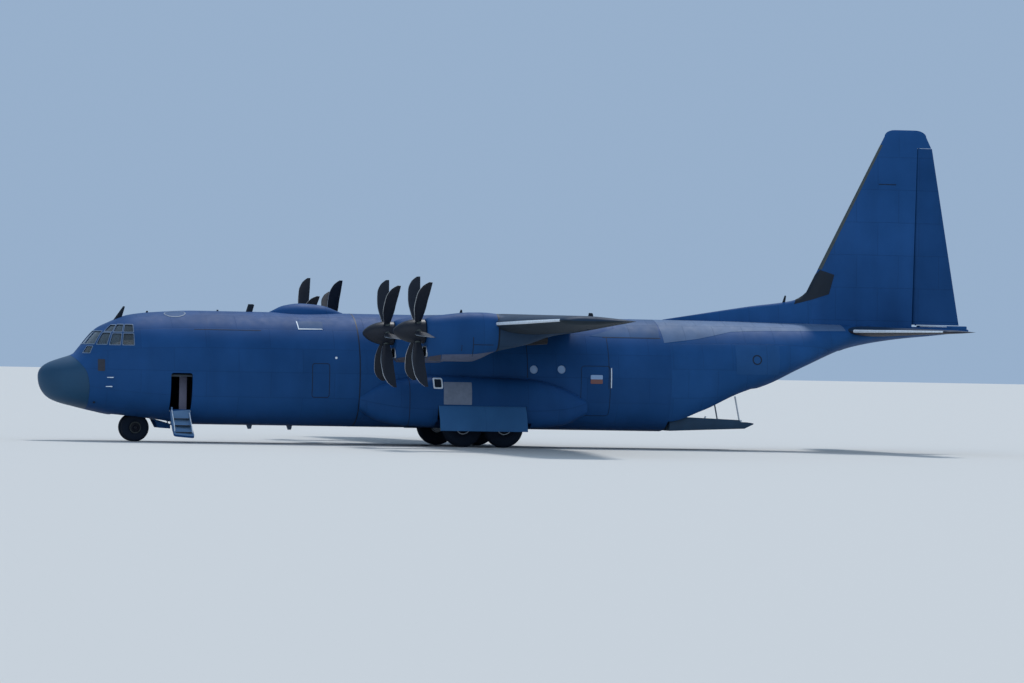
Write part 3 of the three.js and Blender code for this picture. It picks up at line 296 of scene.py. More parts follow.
def hollow_loft(outer: Sequence[Loop], inner: Sequence[Loop], inner_tag: int = 1) -> Shape:
    """Makes a wall between an outer and an inner skin, joined at both ends.

    Args:
        outer: outer sections in order.
        inner: inner sections, as many points each.
        inner_tag: number of the inner skin's finish.

    Returns:
        The closed wall.
    """
    count = len(outer[0])
    shape = loft(outer, capped=False)
    inside = loft(inner, tag=inner_tag, capped=False)
    inside.faces = [tuple(reversed(face)) for face in inside.faces]
    start = len(shape.points)
    shape.join(inside)
    ends = [(0, start), ((len(outer) - 1) * count, start + (len(inner) - 1) * count)]
    for number, (a, b) in enumerate(ends):
        for i in range(count):
            j = (i + 1) % count
            face = (a + i, b + i, b + j, a + j)
            shape.faces.append(face if number == 0 else tuple(reversed(face)))
            shape.tags.append(0)
    return shape


def prism(outline: Sequence[Flat], axis: Axis, low: float, high: float, tag: int = 0) -> Shape:
    """Draws a flat outline out along an axis.

    Args:
        outline: corners in the two other directions, in the order station, span, height.
        axis: the direction of drawing.
        low: where it starts.
        high: where it ends.
        tag: number of the finish.

    Returns:
        The closed prism.
    """

    def place(corner: Flat, along: float) -> Point:
        values = list(corner)
        values.insert(axis.value, along)
        return (values[0], values[1], values[2])

    return loft([[place(c, along) for c in outline] for along in (low, high)], tag)


def block(stations: Flat, spans: Flat, heights: Flat) -> Shape:
    """Returns a box between pairs of stations, spans and heights."""
    corners = [(stations[a], spans[b]) for a, b in ((0, 0), (1, 0), (1, 1), (0, 1))]
    return prism(corners, Axis.HEIGHT, *heights)


def rounded(low: Flat, high: Flat, radius: float) -> list[Flat]:
    """Outlines a rectangle with round corners.

    Args:
        low: its lowest corner.
        high: its highest corner.
        radius: radius of its corners.

    Returns:
        The outline, counter-clockwise.
    """
    centres = [
        (high[0] - radius, high[1] - radius, 0),
        (low[0] + radius, high[1] - radius, 90),
        (low[0] + radius, low[1] + radius, 180),
        (high[0] - radius, low[1] + radius, 270),
    ]
    outline = []
    for a, b, start in centres:
        for step in range(ROUND_CORNER_STEPS + 1):
            turn = math.radians(start + 90 * step / ROUND_CORNER_STEPS)
            outline.append((a + radius * math.cos(turn), b + radius * math.sin(turn)))
    return outline


def even(start: float, end: float, count: int) -> list[float]:
    """Returns numbers from start to end with a count of equal steps between them."""
    return [start + (end - start) * i / count for i in range(count + 1)]


def spaced(start: float, end: float, step: float) -> list[float]:
    """Returns numbers from start to end, about a step apart."""
    return even(start, end, max(1, round((end - start) / step)))


def shares(count: int) -> list[float]:
    """Returns shares of a chord from 0 to 1, closer at both ends."""
    return [(1 - math.cos(math.pi * i / count)) / 2 for i in range(count + 1)]


def circle(radius: float, sides: int) -> list[Flat]:
    """Returns the corners of a regular polygon about the origin."""
    turns = [2 * math.pi * i / sides for i in range(sides)]
    return [(radius * math.cos(t), radius * math.sin(t)) for t in turns]


def squarish(power: float, sides: int) -> list[Flat]:
    """Returns the corners of a circle bent towards a square."""
    return [(power_of(a, power), power_of(b, power)) for a, b in circle(1, sides)]


def arch(station: float, half: float, foot: float, rise: float, steps: int, power: float = 1) -> Loop:
    """Returns an arched section over the hull's roof."""
    turns = [math.pi * i / steps for i in range(steps + 1)]
    return [(station, half * math.cos(t), foot + rise * math.sin(t) ** power) for t in turns]


def both_faces(upper: list[Flat]) -> list[Flat]:
    """Returns a foil's outline from its upper face, nose first."""
    return upper + [(x, -y) for x, y in reversed(upper[1:])]


def disc(middle: Flat, radius: float) -> list[Flat]:
    """Returns a round outline about a point."""
    return [(middle[0] + a, middle[1] + b) for a, b in circle(radius, DISC_SIDES)]


def rings(path: Sequence[Point], radii: float | Sequence[float], sides: int) -> list[Loop]:
    """Sets circles square to a path.

    Args:
        path: the line through their middles.
        radii: one radius, or one for each point.
        sides: corners of each circle.

    Returns:
        The circles.
    """
    sizes = [radii] * len(path) if isinstance(radii, (int, float)) else list(radii)
    line = [Vector(p) for p in path]
    start = (line[1] - line[0]).normalized()
    first = start.orthogonal().normalized()
    loops = []
    for i, point in enumerate(line):
        ahead = line[min(i + 1, len(line) - 1)] - line[max(i - 1, 0)]
        ahead.normalize()
        first = (first - ahead * first.dot(ahead)).normalized()
        second = ahead.cross(first)
        ring = [point + first * a + second * b for a, b in circle(sizes[i], sides)]
        loops.append([tuple(p) for p in ring])
    return loops


def tube(path: Sequence[Point], radii: float | Sequence[float], sides: int = 12, tag: int = 0) -> Shape:
    """Returns a closed round bar along a path."""
    return loft(rings(path, radii, sides), tag)


def pipe(path: Sequence[Point], outer: float | Sequence[float], inner: float | Sequence[float]) -> Shape:
    """Returns an open pipe along a path, with its bore tagged 1."""
    return hollow_loft(rings(path, outer, 32), rings(path, inner, 32))


def frame(outer: Sequence[Flat], inner: Sequence[Flat], axis: Axis, low: float, high: float) -> Shape:
    """Returns a flat frame between two outlines of as many corners."""
    whole, hole = prism(outer, axis, low, high), prism(inner, axis, low, high)
    count = len(outer)
    walls = [[shape.points[:count], shape.points[count:]] for shape in (whole, hole)]
    return hollow_loft(*walls, 0)


def lathe(profile: Sequence[Flat], axis: Axis, centre: Point, sides: int, tag: int = 0) -> Shape:
    """Turns a profile about a line.

    Args:
        profile: radius and distance along the line, closed on itself unless it ends on the line.
        axis: direction of the line.
        centre: the point where the distance is zero.
        sides: steps round the line.
        tag: number of the finish.

    Returns:
        The turned shape.
    """
    on_line = profile[0][0] == 0 and profile[-1][0] == 0
    ring = list(profile) if on_line else [*profile, profile[0]]
    loops = []
    for i in range(sides):
        turn = 2 * math.pi * i / sides
        loop = []
        for radius, along in ring:
            flat = [radius * math.cos(turn), radius * math.sin(turn)]
            flat.insert(axis.value, along)
            loop.append((flat[0] + centre[0], flat[1] + centre[1], flat[2] + centre[2]))
        loops.append(loop)
    return loft([*loops, loops[0]], tag, capped=False, wrap=False)


@dataclass(frozen=True)
class SmoothTable:
    """Rows of a table joined by curves that never overshoot."""

    rows: tuple[tuple[float, ...], ...]
    stretch: Callable[[float], float] = float

    def slopes(self) -> np.ndarray:
        """Returns each column's slope at each row."""
        keys = np.array([self.stretch(row[0]) for row in self.rows])
        values = np.array(self.rows, float)
        steps = np.diff(values, axis=0) / np.diff(keys)[:, None]
        middle = np.where(
            steps[:-1] * steps[1:] > 0, 2 * steps[:-1] * steps[1:] / (steps[:-1] + steps[1:] + 1e-30), 0.0
        )
        return np.vstack([steps[:1], middle, steps[-1:]])

    def at(self, station: float) -> tuple[float, ...]:
        """Gives the table's values between its rows.

        Args:
            station: a value of the first column.

        Returns:
            One row, whose first value is the station.
        """
        first, last = self.rows[0][0], self.rows[-1][0]
        inside = min(max(station, first), last)
        keys = [self.stretch(row[0]) for row in self.rows]
        key = self.stretch(inside)
        i = min(max(int(np.searchsorted(keys, key)) - 1, 0), len(keys) - 2)
        width = keys[i + 1] - keys[i]
        t = (key - keys[i]) / width
        low, high = np.array(self.rows[i], float), np.array(self.rows[i + 1], float)
        slope = self.slopes()
        row = (
            low * (2 * t**3 - 3 * t**2 + 1)
            + high * (3 * t**2 - 2 * t**3)
            + slope[i] * width * (t**3 - 2 * t**2 + t)
            + slope[i + 1] * width * (t**3 - t**2)
        )
        return (station, *(float(v) for v in row[1:]))


def power_of(value: float, power: float) -> float:
    """Returns a sine or cosine bent for a section's roundness."""
    return math.copysign(abs(value) ** (2 / power), value)


# Columns: station, top, bottom, half width, widest height, roundness above and below it
HULL_ROWS = (
    (0, 2270, 2270, 0, 2270, 2, 2),
    (90, 2540, 1830, 380, 2240, 2, 2),
    (390, 2760, 1490, 760, 2200, 2, 2.1),
    (800, 2910, 1320, 1050, 2180, 2.1, 2.2),
    (1250, 3070, 1210, 1290, 2180, 2.2, 2.3),
    (1460, 3310, 1160, 1390, 2200, 2.3, 2.4),
    (2090, 4010, 1020, 1640, 2300, 2.5, 2.5),
    (2440, 4190, 950, 1750, 2350, 2.5, 2.6),
    (3250, 4500, 880, 1930, 2420, 2.3, 2.7),
    (4200, 4610, 790, 2060, 2480, 2.1, 2.9),
    (5600, 4680, 640, 2160, 2520, 2, 3),
    (22600, 4680, 640, 2160, 2520, 2, 3),
    (23900, 4680, 1130, 2160, 2650, 2, 2.9),
    (25170, 4680, 1800, 2110, 2900, 2, 2.8),
    (26360, 4670, 2250, 2000, 3150, 2, 2.7),
    (27700, 4660, 2930, 1770, 3520, 2, 2.5),
    (29760, 4640, 3800, 1290, 4200, 2, 2.2),
    (31500, 4620, 4130, 830, 4370, 2, 2),
    (33200, 4600, 4320, 400, 4460, 2, 2),
    (34370, 4550, 4470, 70, 4510, 2, 2),
)


class Form:
    """A form lofted through a table of sections, whose skin can be laid with plates."""

    table: SmoothTable

    def loop(self, station: float, inset: float = 0) -> Loop:
        """Returns a section, inset all round."""
        raise NotImplementedError

    def loops(self, start: float, end: float, step: float, inset: float = 0) -> list[Loop]:
        """Returns sections between two stations, about a step apart."""
        rows = self.table.rows
        stations = spaced(max(start, rows[0][0]), min(end, rows[-1][0]), step)
        return [self.loop(station, inset) for station in stations]

    def solid(self, start: float, end: float, step: float, inset: float = 0) -> Shape:
        """Returns the solid form between two stations."""
        return loft(self.loops(start, end, step, inset))

    def wall(self, start: float, end: float, step: float, thickness: float, outset: float = 0) -> Shape:
        """Returns its wall between two stations, with the inner skin tagged 1."""
        outer = self.loops(start, end, step, -outset)
        return hollow_loft(outer, self.loops(start, end, step, thickness))


@dataclass(frozen=True)
class HullForm(Form):
    """The fuselage's outer form, from the radome's tip to the tail cone."""

    table: SmoothTable = SmoothTable(HULL_ROWS, math.sqrt)
    sides: int = 80

    def point(self, station: float, turn: float, inset: float = 0) -> Point:
        """Gives a point of a section.

        Args:
            station: place of the section.
            turn: angle round it in radians, from starboard upwards.
            inset: distance inside the outer skin.

        Returns:
            The point.
        """
        _, top, bottom, half, widest, above, below = self.table.at(station)
        up = math.sin(turn) > 0
        power = above if up else below
        reach = (top - widest if up else widest - bottom) - inset
        span = max(half - inset, 0) * power_of(math.cos(turn), power)
        return (station, span, widest + max(reach, 0) * power_of(math.sin(turn), power))

    def loop(self, station: float, inset: float = 0) -> Loop:
        """Returns a section, inset all round."""
        return [self.point(station, 2 * math.pi * i / self.sides, inset) for i in range(self.sides)]

    def half_width(self, station: float, height: float) -> float:
        """Returns the hull's half width at a station and height."""
        _, top, bottom, half, widest, above, below = self.table.at(station)
        reach, power = (top - widest, above) if height > widest else (widest - bottom, below)
        share = min(abs(height - widest) / reach, 1)
        return half * (1 - share**power) ** (1 / power)


HULL = HullForm()


# Noise values at which a blend of two tones is pure
SOFT_EDGE = (0.3, 0.7)


class Grain(Enum):
    """How a painted surface's panels lie."""

    BARREL = "round the fuselage"
    PLAN = "seen from above"
    SIDE = "seen from the side"


class Nodes:
    """Short calls for a material's node tree."""

    def __init__(self, name: str) -> None:
        """Starts a material with a plain shader."""
        self.material = bpy.data.materials.new(name)
        self.material.use_nodes = True
        self.tree = self.material.node_tree
        self.shader = self.tree.nodes["Principled BSDF"]
        self.where = self.add("ShaderNodeTexCoord").outputs["Object"]

    def add(self, kind: str, **settings: object) -> bpy.types.Node:
        """Adds a node.

        Args:
            kind: Blender's name of the node.
            settings: values for its properties.

        Returns:
            The node.
        """
        node = self.tree.nodes.new(kind)
        for name, value in settings.items():
            setattr(node, name, value)
        return node

    def link(self, out: Socket, into: Socket) -> None:
        """Joins two sockets."""
        self.tree.links.new(out, into)

    def sum(self, kind: str, *values: object) -> Socket:
        """Adds a sum.

        Args:
            kind: Blender's name of the operation.
            values: numbers or sockets.

        Returns:
            The result's socket.
        """
        node = self.add("ShaderNodeMath", operation=kind)
        for socket, value in zip(node.inputs, values):
            if isinstance(value, Socket):
                self.link(value, socket)
            else:
                socket.default_value = value
        return node.outputs[0]

    def noise(self, scale: float, detail: float, stretch: Point = (1, 1, 1)) -> Socket:
        """Adds noise.

        Args:
            scale: how fine it is.
            detail: how many finer layers it has.
            stretch: how the place is scaled before it.

        Returns:
            The noise's socket.
        """
        mapping = self.add("ShaderNodeMapping")
        mapping.inputs["Scale"].default_value = stretch
        self.link(self.where, mapping.inputs["Vector"])
        node = self.add("ShaderNodeTexNoise")
        self.fill(node, {"Scale": scale, "Detail": detail})
        self.link(mapping.outputs["Vector"], node.inputs["Vector"])
        return node.outputs["Fac"]

    def shade(self, factor: Socket, dark: Point, light: Point, ends: Flat = (0, 1)) -> Socket:
        """Adds a blend of two colours.

        Args:
            factor: the socket that chooses between them.
            dark: the colour where the factor is low.
            light: the colour where it is high.
            ends: the factors at which each is pure.

        Returns:
            The colour's socket.
        """
        ramp = self.add("ShaderNodeValToRGB")
        ramp.color_ramp.elements[0].position, ramp.color_ramp.elements[1].position = ends
        ramp.color_ramp.elements[0].color = (*dark, 1)
        ramp.color_ramp.elements[1].color = (*light, 1)
        self.link(factor, ramp.inputs["Fac"])
        return ramp.outputs["Color"]

    def mix(self, kind: str, factor: object, first: object, second: object) -> Socket:
        """Adds a mix of two colours.

        Args:
            kind: Blender's name of the blend.
            factor: a number or socket.
            first: a colour or socket.
            second: a colour or socket.

        Returns:
            The colour's socket.
        """
        node = self.add("ShaderNodeMix", data_type="RGBA", blend_type=kind)
        for socket, value in zip((node.inputs[0], node.inputs[6], node.inputs[7]), (factor, first, second)):
            if isinstance(value, Socket):
                self.link(value, socket)
            elif isinstance(value, tuple):
                socket.default_value = (*value, 1)
            else:
                socket.default_value = value
        return node.outputs[2]

    def fill(self, node: bpy.types.Node, values: dict[str, object]) -> None:
        """Sets a node's own sockets."""
        for name, value in values.items():
            node.inputs[name].default_value = value

    def color(self, color: Socket) -> None:
        """Gives the surface its colour."""
        self.link(color, self.shader.inputs["Base Color"])

    def bump(self, height: Socket, distance: float, strength: float = 1.0) -> None:
        """Raises the surface by a height."""
        node = self.add("ShaderNodeBump")
        self.fill(node, {"Distance": distance, "Strength": strength})
        self.link(height, node.inputs["Height"])
        self.link(node.outputs["Normal"], self.shader.inputs["Normal"])

    def rough(self, factor: Socket, low: float, high: float) -> None:
        """Lets the roughness follow a factor."""
        spread = self.add("ShaderNodeMapRange")
        self.fill(spread, {"To Min": low, "To Max": high})
        self.link(factor, spread.inputs["Value"])
        self.link(spread.outputs["Result"], self.shader.inputs["Roughness"])


def toned(color: Point, factor: float, lift: float = 0) -> Point:
    """Returns a colour made darker or lighter."""
    return tuple(min(1.0, c * factor + lift) for c in color)


@dataclass(frozen=True)
class Paint:
    """Aircraft paint over riveted panels, a little weathered."""

    name: str
    color: Point
    grain: Grain = Grain.BARREL
    panel: Flat = (1.15, 0.42)
    seam: float = 0.007
    seam_tone: float = 0.85
    spread: float = 0.09
    roughness: Flat = (0.5, 0.66)
    # Height of the hull's axis and its radius, in the model's metres
    axis_height: float = 1.3
    hull_radius: float = 1.05
    joint_softness: float = 0.3
    blotch_scale: float = 0.9
    streak_scale: float = 3.0
    streak_stretch: Point = (1.0, 1.0, 0.16)
    gloss_scale: float = 7.0
    dent_scale: float = 2.4
    dent_depth: float = 0.5
    relief: float = 0.004

    def material(self) -> Material:
        """Returns the paint as a Blender material."""
        nodes = Nodes(self.name)
        split = nodes.add("ShaderNodeSeparateXYZ")
        nodes.link(nodes.where, split.inputs[0])
        x, y, z = split.outputs
        flat = nodes.add("ShaderNodeCombineXYZ")
        if self.grain is Grain.BARREL:
            turn = nodes.sum("ARCTAN2", y, nodes.sum("SUBTRACT", z, self.axis_height))
            across = nodes.sum("MULTIPLY", turn, self.hull_radius)
        else:
            across = y if self.grain is Grain.PLAN else z
        nodes.link(x, flat.inputs[0])
        nodes.link(across, flat.inputs[1])
        bricks = nodes.add("ShaderNodeTexBrick", offset=0.5, squash=1.0)
        nodes.link(flat.outputs[0], bricks.inputs["Vector"])
        tone = 1 - self.spread
        nodes.fill(bricks, {"Scale": 1.0, "Mortar Size": self.seam, "Mortar Smooth": self.joint_softness})
        nodes.fill(bricks, {"Brick Width": self.panel[0], "Row Height": self.panel[1]})
        for socket, grey in (("Color1", tone), ("Color2", 1), ("Mortar", self.seam_tone)):
            nodes.fill(bricks, {socket: (grey, grey, grey, 1)})
        blotches = nodes.noise(self.blotch_scale, 4)
        streaks = nodes.noise(self.streak_scale, 3, self.streak_stretch)
        base = nodes.shade(blotches, toned(self.color, 0.86), toned(self.color, 1.12, 0.004), SOFT_EDGE)
        stain = nodes.shade(streaks, (0.8, 0.8, 0.8), (1, 1, 1), (0.3, 0.6))
        streaked = nodes.mix("MULTIPLY", 0.5, base, stain)
        nodes.color(nodes.mix("MULTIPLY", 1.0, streaked, bricks.outputs["Color"]))
        nodes.rough(nodes.noise(self.gloss_scale, 5), *self.roughness)
        dents = nodes.sum("MULTIPLY", nodes.noise(self.dent_scale, 2), self.dent_depth)
        nodes.bump(nodes.sum("SUBTRACT", dents, bricks.outputs["Fac"]), self.relief, 0.5)
        nodes.fill(nodes.shader, {"Specular IOR Level": 0.1})
        return nodes.material


@dataclass(frozen=True)
class Metal:
    """Bare or coated metal with faint wear."""

    name: str
    color: Point
    metallic: float = 1.0
    roughness: Flat = (0.25, 0.45)
    scale: float = 9.0

    def material(self) -> Material:
        """Returns the metal as a Blender material."""
        nodes = Nodes(self.name)
        grain = nodes.noise(self.scale, 5)
        nodes.color(nodes.shade(grain, toned(self.color, 0.75), self.color, SOFT_EDGE))
        nodes.rough(nodes.noise(self.scale * 3, 4), *self.roughness)
        nodes.bump(nodes.noise(self.scale * 6, 3), 0.001, 0.3)
        nodes.fill(nodes.shader, {"Metallic": self.metallic})
        return nodes.material


@dataclass(frozen=True)
class Coat:
    """A plain coat, such as rubber, primer, plastic or upholstery."""

    name: str
    color: Point
    roughness: Flat = (0.6, 0.8)
    scale: float = 14.0
    bump: float = 0.002
    sheen: float = 0.0

    def material(self) -> Material:
        """Returns the coat as a Blender material."""
        nodes = Nodes(self.name)
        grain = nodes.noise(self.scale, 5)
        nodes.color(nodes.shade(grain, toned(self.color, 0.86), toned(self.color, 1.07), SOFT_EDGE))
        nodes.rough(nodes.noise(self.scale * 2, 3), *self.roughness)
        nodes.bump(nodes.noise(self.scale * 8, 3), self.bump, 0.4)
        nodes.fill(nodes.shader, {"Sheen Weight": self.sheen, "Specular IOR Level": 0.25})
        return nodes.material


@dataclass(frozen=True)
class Glazing:
    """Clear window glass with a faint tint."""

    name: str
    color: Point

    def material(self) -> Material:
        """Returns the glass as a Blender material."""
        nodes = Nodes(self.name)
        haze = nodes.noise(4.0, 2)
        nodes.color(nodes.shade(haze, toned(self.color, 0.9), self.color))
        nodes.rough(haze, 0.02, 0.06)
        nodes.fill(nodes.shader, {"Transmission Weight": 0.85, "IOR": 1.45})
        return nodes.material


class Palette:
    """Every finish of the plane, made once."""

    def __init__(self) -> None:
        """Makes the materials."""
        side, plan = Grain.SIDE, Grain.PLAN
        fin, wing, door = (0.8, 0.6), (0.62, 1.3), (1.6, 0.9)
        self.hull = Paint("slate_paint_hull", (0.010, 0.068, 0.21)).material()
        self.rear = Paint("slate_paint_tail", (0.012, 0.078, 0.235), panel=(0.55, 0.5)).material()
        # Painted highlight: a lighter copy of the hull paint for the band of light along the rear roof
        self.top = Paint("painted_highlight_roof", (0.09, 0.16, 0.29), panel=(0.55, 0.5), spread=0.04).material()
        # Lighter paint for the roof plate and hatch lid, and the painted highlight on the upper hull aft of
        # the wing
        self.fillet = Paint("highlight_and_panel_paint", (0.03, 0.09, 0.21), panel=(0.8, 0.5)).material()
        self.plan = Paint("slate_paint_wing", (0.016, 0.04, 0.08), plan, wing).material()
        self.side = Paint("slate_paint_fin", (0.012, 0.076, 0.235), side, fin, spread=0.05).material()
        self.rudder = Paint("slate_paint_rudder", (0.008, 0.06, 0.19), side, fin, spread=0.03).material()
        self.light = Paint("light_blue_paint", (0.045, 0.16, 0.36), side, door).material()
        self.patch = Paint("patch_paint", (0.018, 0.085, 0.235), side, (3, 3), spread=0.0).material()
        self.beige = Coat("beige_panel", (0.21, 0.25, 0.33), (0.5, 0.6)).material()
        self.belly = Coat("belly_mauve", (0.1, 0.12, 0.19), (0.5, 0.6)).material()
        # A browner coat for the front of each nacelle's belly
        self.brown = Coat("brown_belly_coat", (0.06, 0.06, 0.085), (0.5, 0.6)).material()
        self.maroon = Coat("maroon_panel", (0.03, 0.035, 0.05), (0.5, 0.6)).material()
        self.radome = Coat("radome_skin", (0.012, 0.062, 0.13), (0.45, 0.6), 2.0).material()
        self.dark = Coat("dark_panel", (0.006, 0.014, 0.026), (0.5, 0.6)).material()
        # Dark grey for the blade cuffs and hub flanges, and the painted highlight along the fin's leading
        # edge
        self.grey_and_highlight = Coat("dark_grey_and_edge_highlight", (0.06, 0.075, 0.075), (0.45, 0.55)).material()
        self.mullion = Coat("window_frame_paint", (0.13, 0.19, 0.28), (0.45, 0.55)).material()
        self.pale = Coat("pale_strip", (0.75, 0.82, 0.88), (0.4, 0.5)).material()
        self.blade = Coat("blade_black", (0.01, 0.014, 0.024), (0.35, 0.5)).material()
        self.edge = Metal("worn_edge", (0.5, 0.54, 0.58), 0.9, (0.3, 0.45)).material()
        self.steel = Metal("polished_steel", (0.75, 0.76, 0.78), 1.0, (0.12, 0.25)).material()
        self.exhaust = Metal("exhaust_metal", (0.03, 0.03, 0.035), 0.8, (0.45, 0.6)).material()
        self.gear = Coat("gear_paint", (0.5, 0.55, 0.6), (0.3, 0.42), 6.0, 0.001).material()
        self.tyre = Coat("tyre_rubber", (0.005, 0.012, 0.026), (0.75, 0.9)).material()
        self.lining = Coat("lining_paint", (0.10, 0.12, 0.13), (0.55, 0.7), 5.0).material()
        self.door = Coat("door_lining", (0.11, 0.21, 0.36), (0.5, 0.6), 5.0).material()
        self.lobby = Coat("lobby_panel", (0.24, 0.25, 0.36), (0.5, 0.6), 5.0).material()
        self.tread = Coat("tread_covering", (0.03, 0.028, 0.03), (0.7, 0.85), 20.0, 0.003).material()
        self.deck = Coat("deck_paint", (0.05, 0.065, 0.08), (0.5, 0.75), 8.0, 0.003).material()
        self.ramp = Coat("ramp_paint", (0.018, 0.05, 0.095), (0.5, 0.7), 6.0, 0.002).material()
        self.seat = Coat("seat_fabric", (0.055, 0.06, 0.045), (0.85, 0.95), 60.0, 0.003, 0.3).material()
        self.grey = Paint("grey_paint_fairing", (0.028, 0.06, 0.115), side, door).material()
        # Painted shade: a darker, warmer copy of the wing paint for the tailplane's undersides
        self.under = Paint("painted_shade_tail_underside", (0.035, 0.032, 0.042), plan, wing).material()
        # Painted shade: a darker, greener copy of the wing paint for the wing's undersides
        self.shade = Paint("painted_shade_wing_underside", (0.02, 0.032, 0.045), plan, wing).material()
        # Painted sky reflection: an opaque pale blue for the round windows and the upper half of the
        # paratroop door's window
        self.sky = Coat("painted_sky_reflection", (0.3, 0.44, 0.66), (0.1, 0.2), 3.0, 0.0).material()
        # Painted reflection: a reddish coat for the lower half of the paratroop door's window
        self.warm_reflection = Coat("painted_warm_reflection", (0.22, 0.1, 0.09), (0.1, 0.2), 3.0, 0.0).material()
        self.glass = Glazing("window_glass", (0.22, 0.28, 0.32)).material()
        self.screen = Coat("screen_glass", (0.01, 0.014, 0.02), (0.08, 0.15), 3.0, 0.0).material()


class Workshop:
    """Turns shapes into pieces that ride on the frame, and reports each."""

    def __init__(self) -> None:
        """Loads the frame and makes the finishes."""
        self.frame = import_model()
        self.cad_box = [list(corner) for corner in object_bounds()]
        self.paint = Palette()
        self.count = 0

    def settle(self, piece: Object) -> None:
        """Applies a piece's modifiers to its mesh."""
        graph = bpy.context.evaluated_depsgraph_get()
        mesh = bpy.data.meshes.new_from_object(piece.evaluated_get(graph))
        old = piece.data
        piece.modifiers.clear()
        piece.data = mesh
        bpy.data.meshes.remove(old)

    def carve(self, piece: Object, cutter: Shape, how: Cut = Cut.AWAY) -> None:
        """Cuts or trims a piece.

        Args:
            piece: the piece to change.
            cutter: the shape that it is changed by.
            how: what the cutting shape does.
        """
        tool = cutter.build("cutter", list(piece.data.materials))
        change = piece.modifiers.new("carve", "BOOLEAN")
        change.operation = how.value
        change.solver = "EXACT"
        change.object = tool
        self.settle(piece)
        bpy.data.objects.remove(tool)

    def common(self, first: Shape, second: Shape) -> Shape:
        """Returns what two shapes have in common."""
        made = first.build("common")
        for _ in range(1 + max(first.tags)):
            made.data.materials.append(None)
        self.carve(made, second, Cut.KEEP)
        points = [(v.co.x / MM + MIDDLE, v.co.y / MM, v.co.z / MM) for v in made.data.vertices]
        faces = [tuple(face.vertices) for face in made.data.polygons]
        tags = [face.material_index for face in made.data.polygons]
        bpy.data.objects.remove(made)
        return Shape(points, faces, tags)

    def place(
        self,
        name: str,
        shape: Shape,
        finishes: Sequence[Material],
        slot: str = "airframe_paint",
        body: str = "airframe",
        nodes: Sequence[str] = (),
        cuts: Sequence[Shape] = (),
        trim: Shape | None = None,
        bevel: float = 0,
        sharp: float = 32,
    ) -> Object:
        """Makes a piece and sets it on its body.

        Args:
            name: the piece's name.
            shape: its form.
            finishes: materials in the order of the shape's tags.
            slot: the record's material slot, which is not used.
            body: the body that it rides on.
            nodes: CAD nodes that it stands for.
            cuts: shapes that are cut out of it, in order.
            trim: a shape that it is cut down to.
            bevel: width of its rounded edges, in full-size millimetres.
            sharp: angle in degrees over which an edge stays sharp.

        Returns:
            The piece.
        """
        piece = shape.build(name, finishes)
        if trim is not None:
            self.carve(piece, trim, Cut.KEEP)
        for cut in cuts:
            self.carve(piece, cut)
        if bevel:
            edge = piece.modifiers.new("edges", "BEVEL")
            edge.width = bevel * MM
            edge.segments = 2
            edge.limit_method = "ANGLE"
            edge.angle_limit = math.radians(sharp)
            self.settle(piece)
        piece.data.shade_smooth()
        piece.data.set_sharp_from_angle(angle=math.radians(sharp))
        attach(piece, body)
        if nodes:
            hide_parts(*nodes)
        self.count += 1
        LOG.info("%-28s %6d faces on %s", name, len(piece.data.polygons), body)
        return piece

    def plate(
        self,
        name: str,
        outline: Sequence[Flat],
        finish: Material,
        side: Side,
        hole: Sequence[Flat] = (),
        proud: float = 9,
        form: Form | None = None,
        reach: Flat = (300, BEYOND),
    ) -> Object:
        """Lays a thin plate on the hull's skin or another form's.

        Args:
            name: the piece's name.
            outline: its corners as station and height.
            finish: its material.
            side: the hull's side.
            hole: corners of a hole in it.
            proud: how far it stands off the skin.
            form: the form that it follows, or None for the hull.
            reach: the spans between which it lies, on the starboard side.

        Returns:
            The piece.
        """
        stations = [corner[0] for corner in outline]
        start, end = min(stations) - PLATE_MARGIN, max(stations) + PLATE_MARGIN
        layer = (form or HULL).wall(start, end, PLATE_STEP, PLATE_THICKNESS, outset=proud).on(side)
        cuts = [prism(hole, Axis.SPAN, *reach).on(side)] if hole else []
        trim = prism(outline, Axis.SPAN, *reach).on(side)
        return self.place(name, layer, [finish, finish], cuts=cuts, trim=trim)


@dataclass
class SubAssembly:
    """A part of the plane, which makes its own pieces."""

    shop: Workshop


@dataclass
class Radome(SubAssembly):
    """The nose cone, which ends at a joint that curves seen from the side."""

    gap: float = 6
    end: float = 1700
    count: int = 36
    # Columns: height, station of the joint
    joint: SmoothTable = SmoothTable(
        ((600, 1640), (1900, 1640), (2200, 1600), (2430, 1540), (2700, 1370), (2990, 1130), (3400, 700))
    )

    def ahead(self, grow: float = 0) -> Shape:
        """Returns the room ahead of the joint, moved aft by a distance."""
        first, last = self.joint.rows[0][0], self.joint.rows[-1][0]
        edge = [(self.joint.at(height)[1] + grow, height) for height in even(first, last, 40)]
        return prism([(-200, 600), *edge, (-200, 3400)], Axis.SPAN, -2500, 2500)

    def build(self) -> None:
        """Makes the cone."""
        shop = self.shop
        loops = [HULL.loop(self.end * (i / self.count) ** 2) for i in range(1, self.count + 1)]
        cone = loft([[HULL.point(0, 0)] * HULL.sides, *loops], capped=False)
        cone.add(loops[-1], [range(HULL.sides)])
        trim = self.ahead(-self.gap)
        shop.place("radome_cone", cone, [shop.paint.radome], "radome_skin", nodes=["radome"], trim=trim)


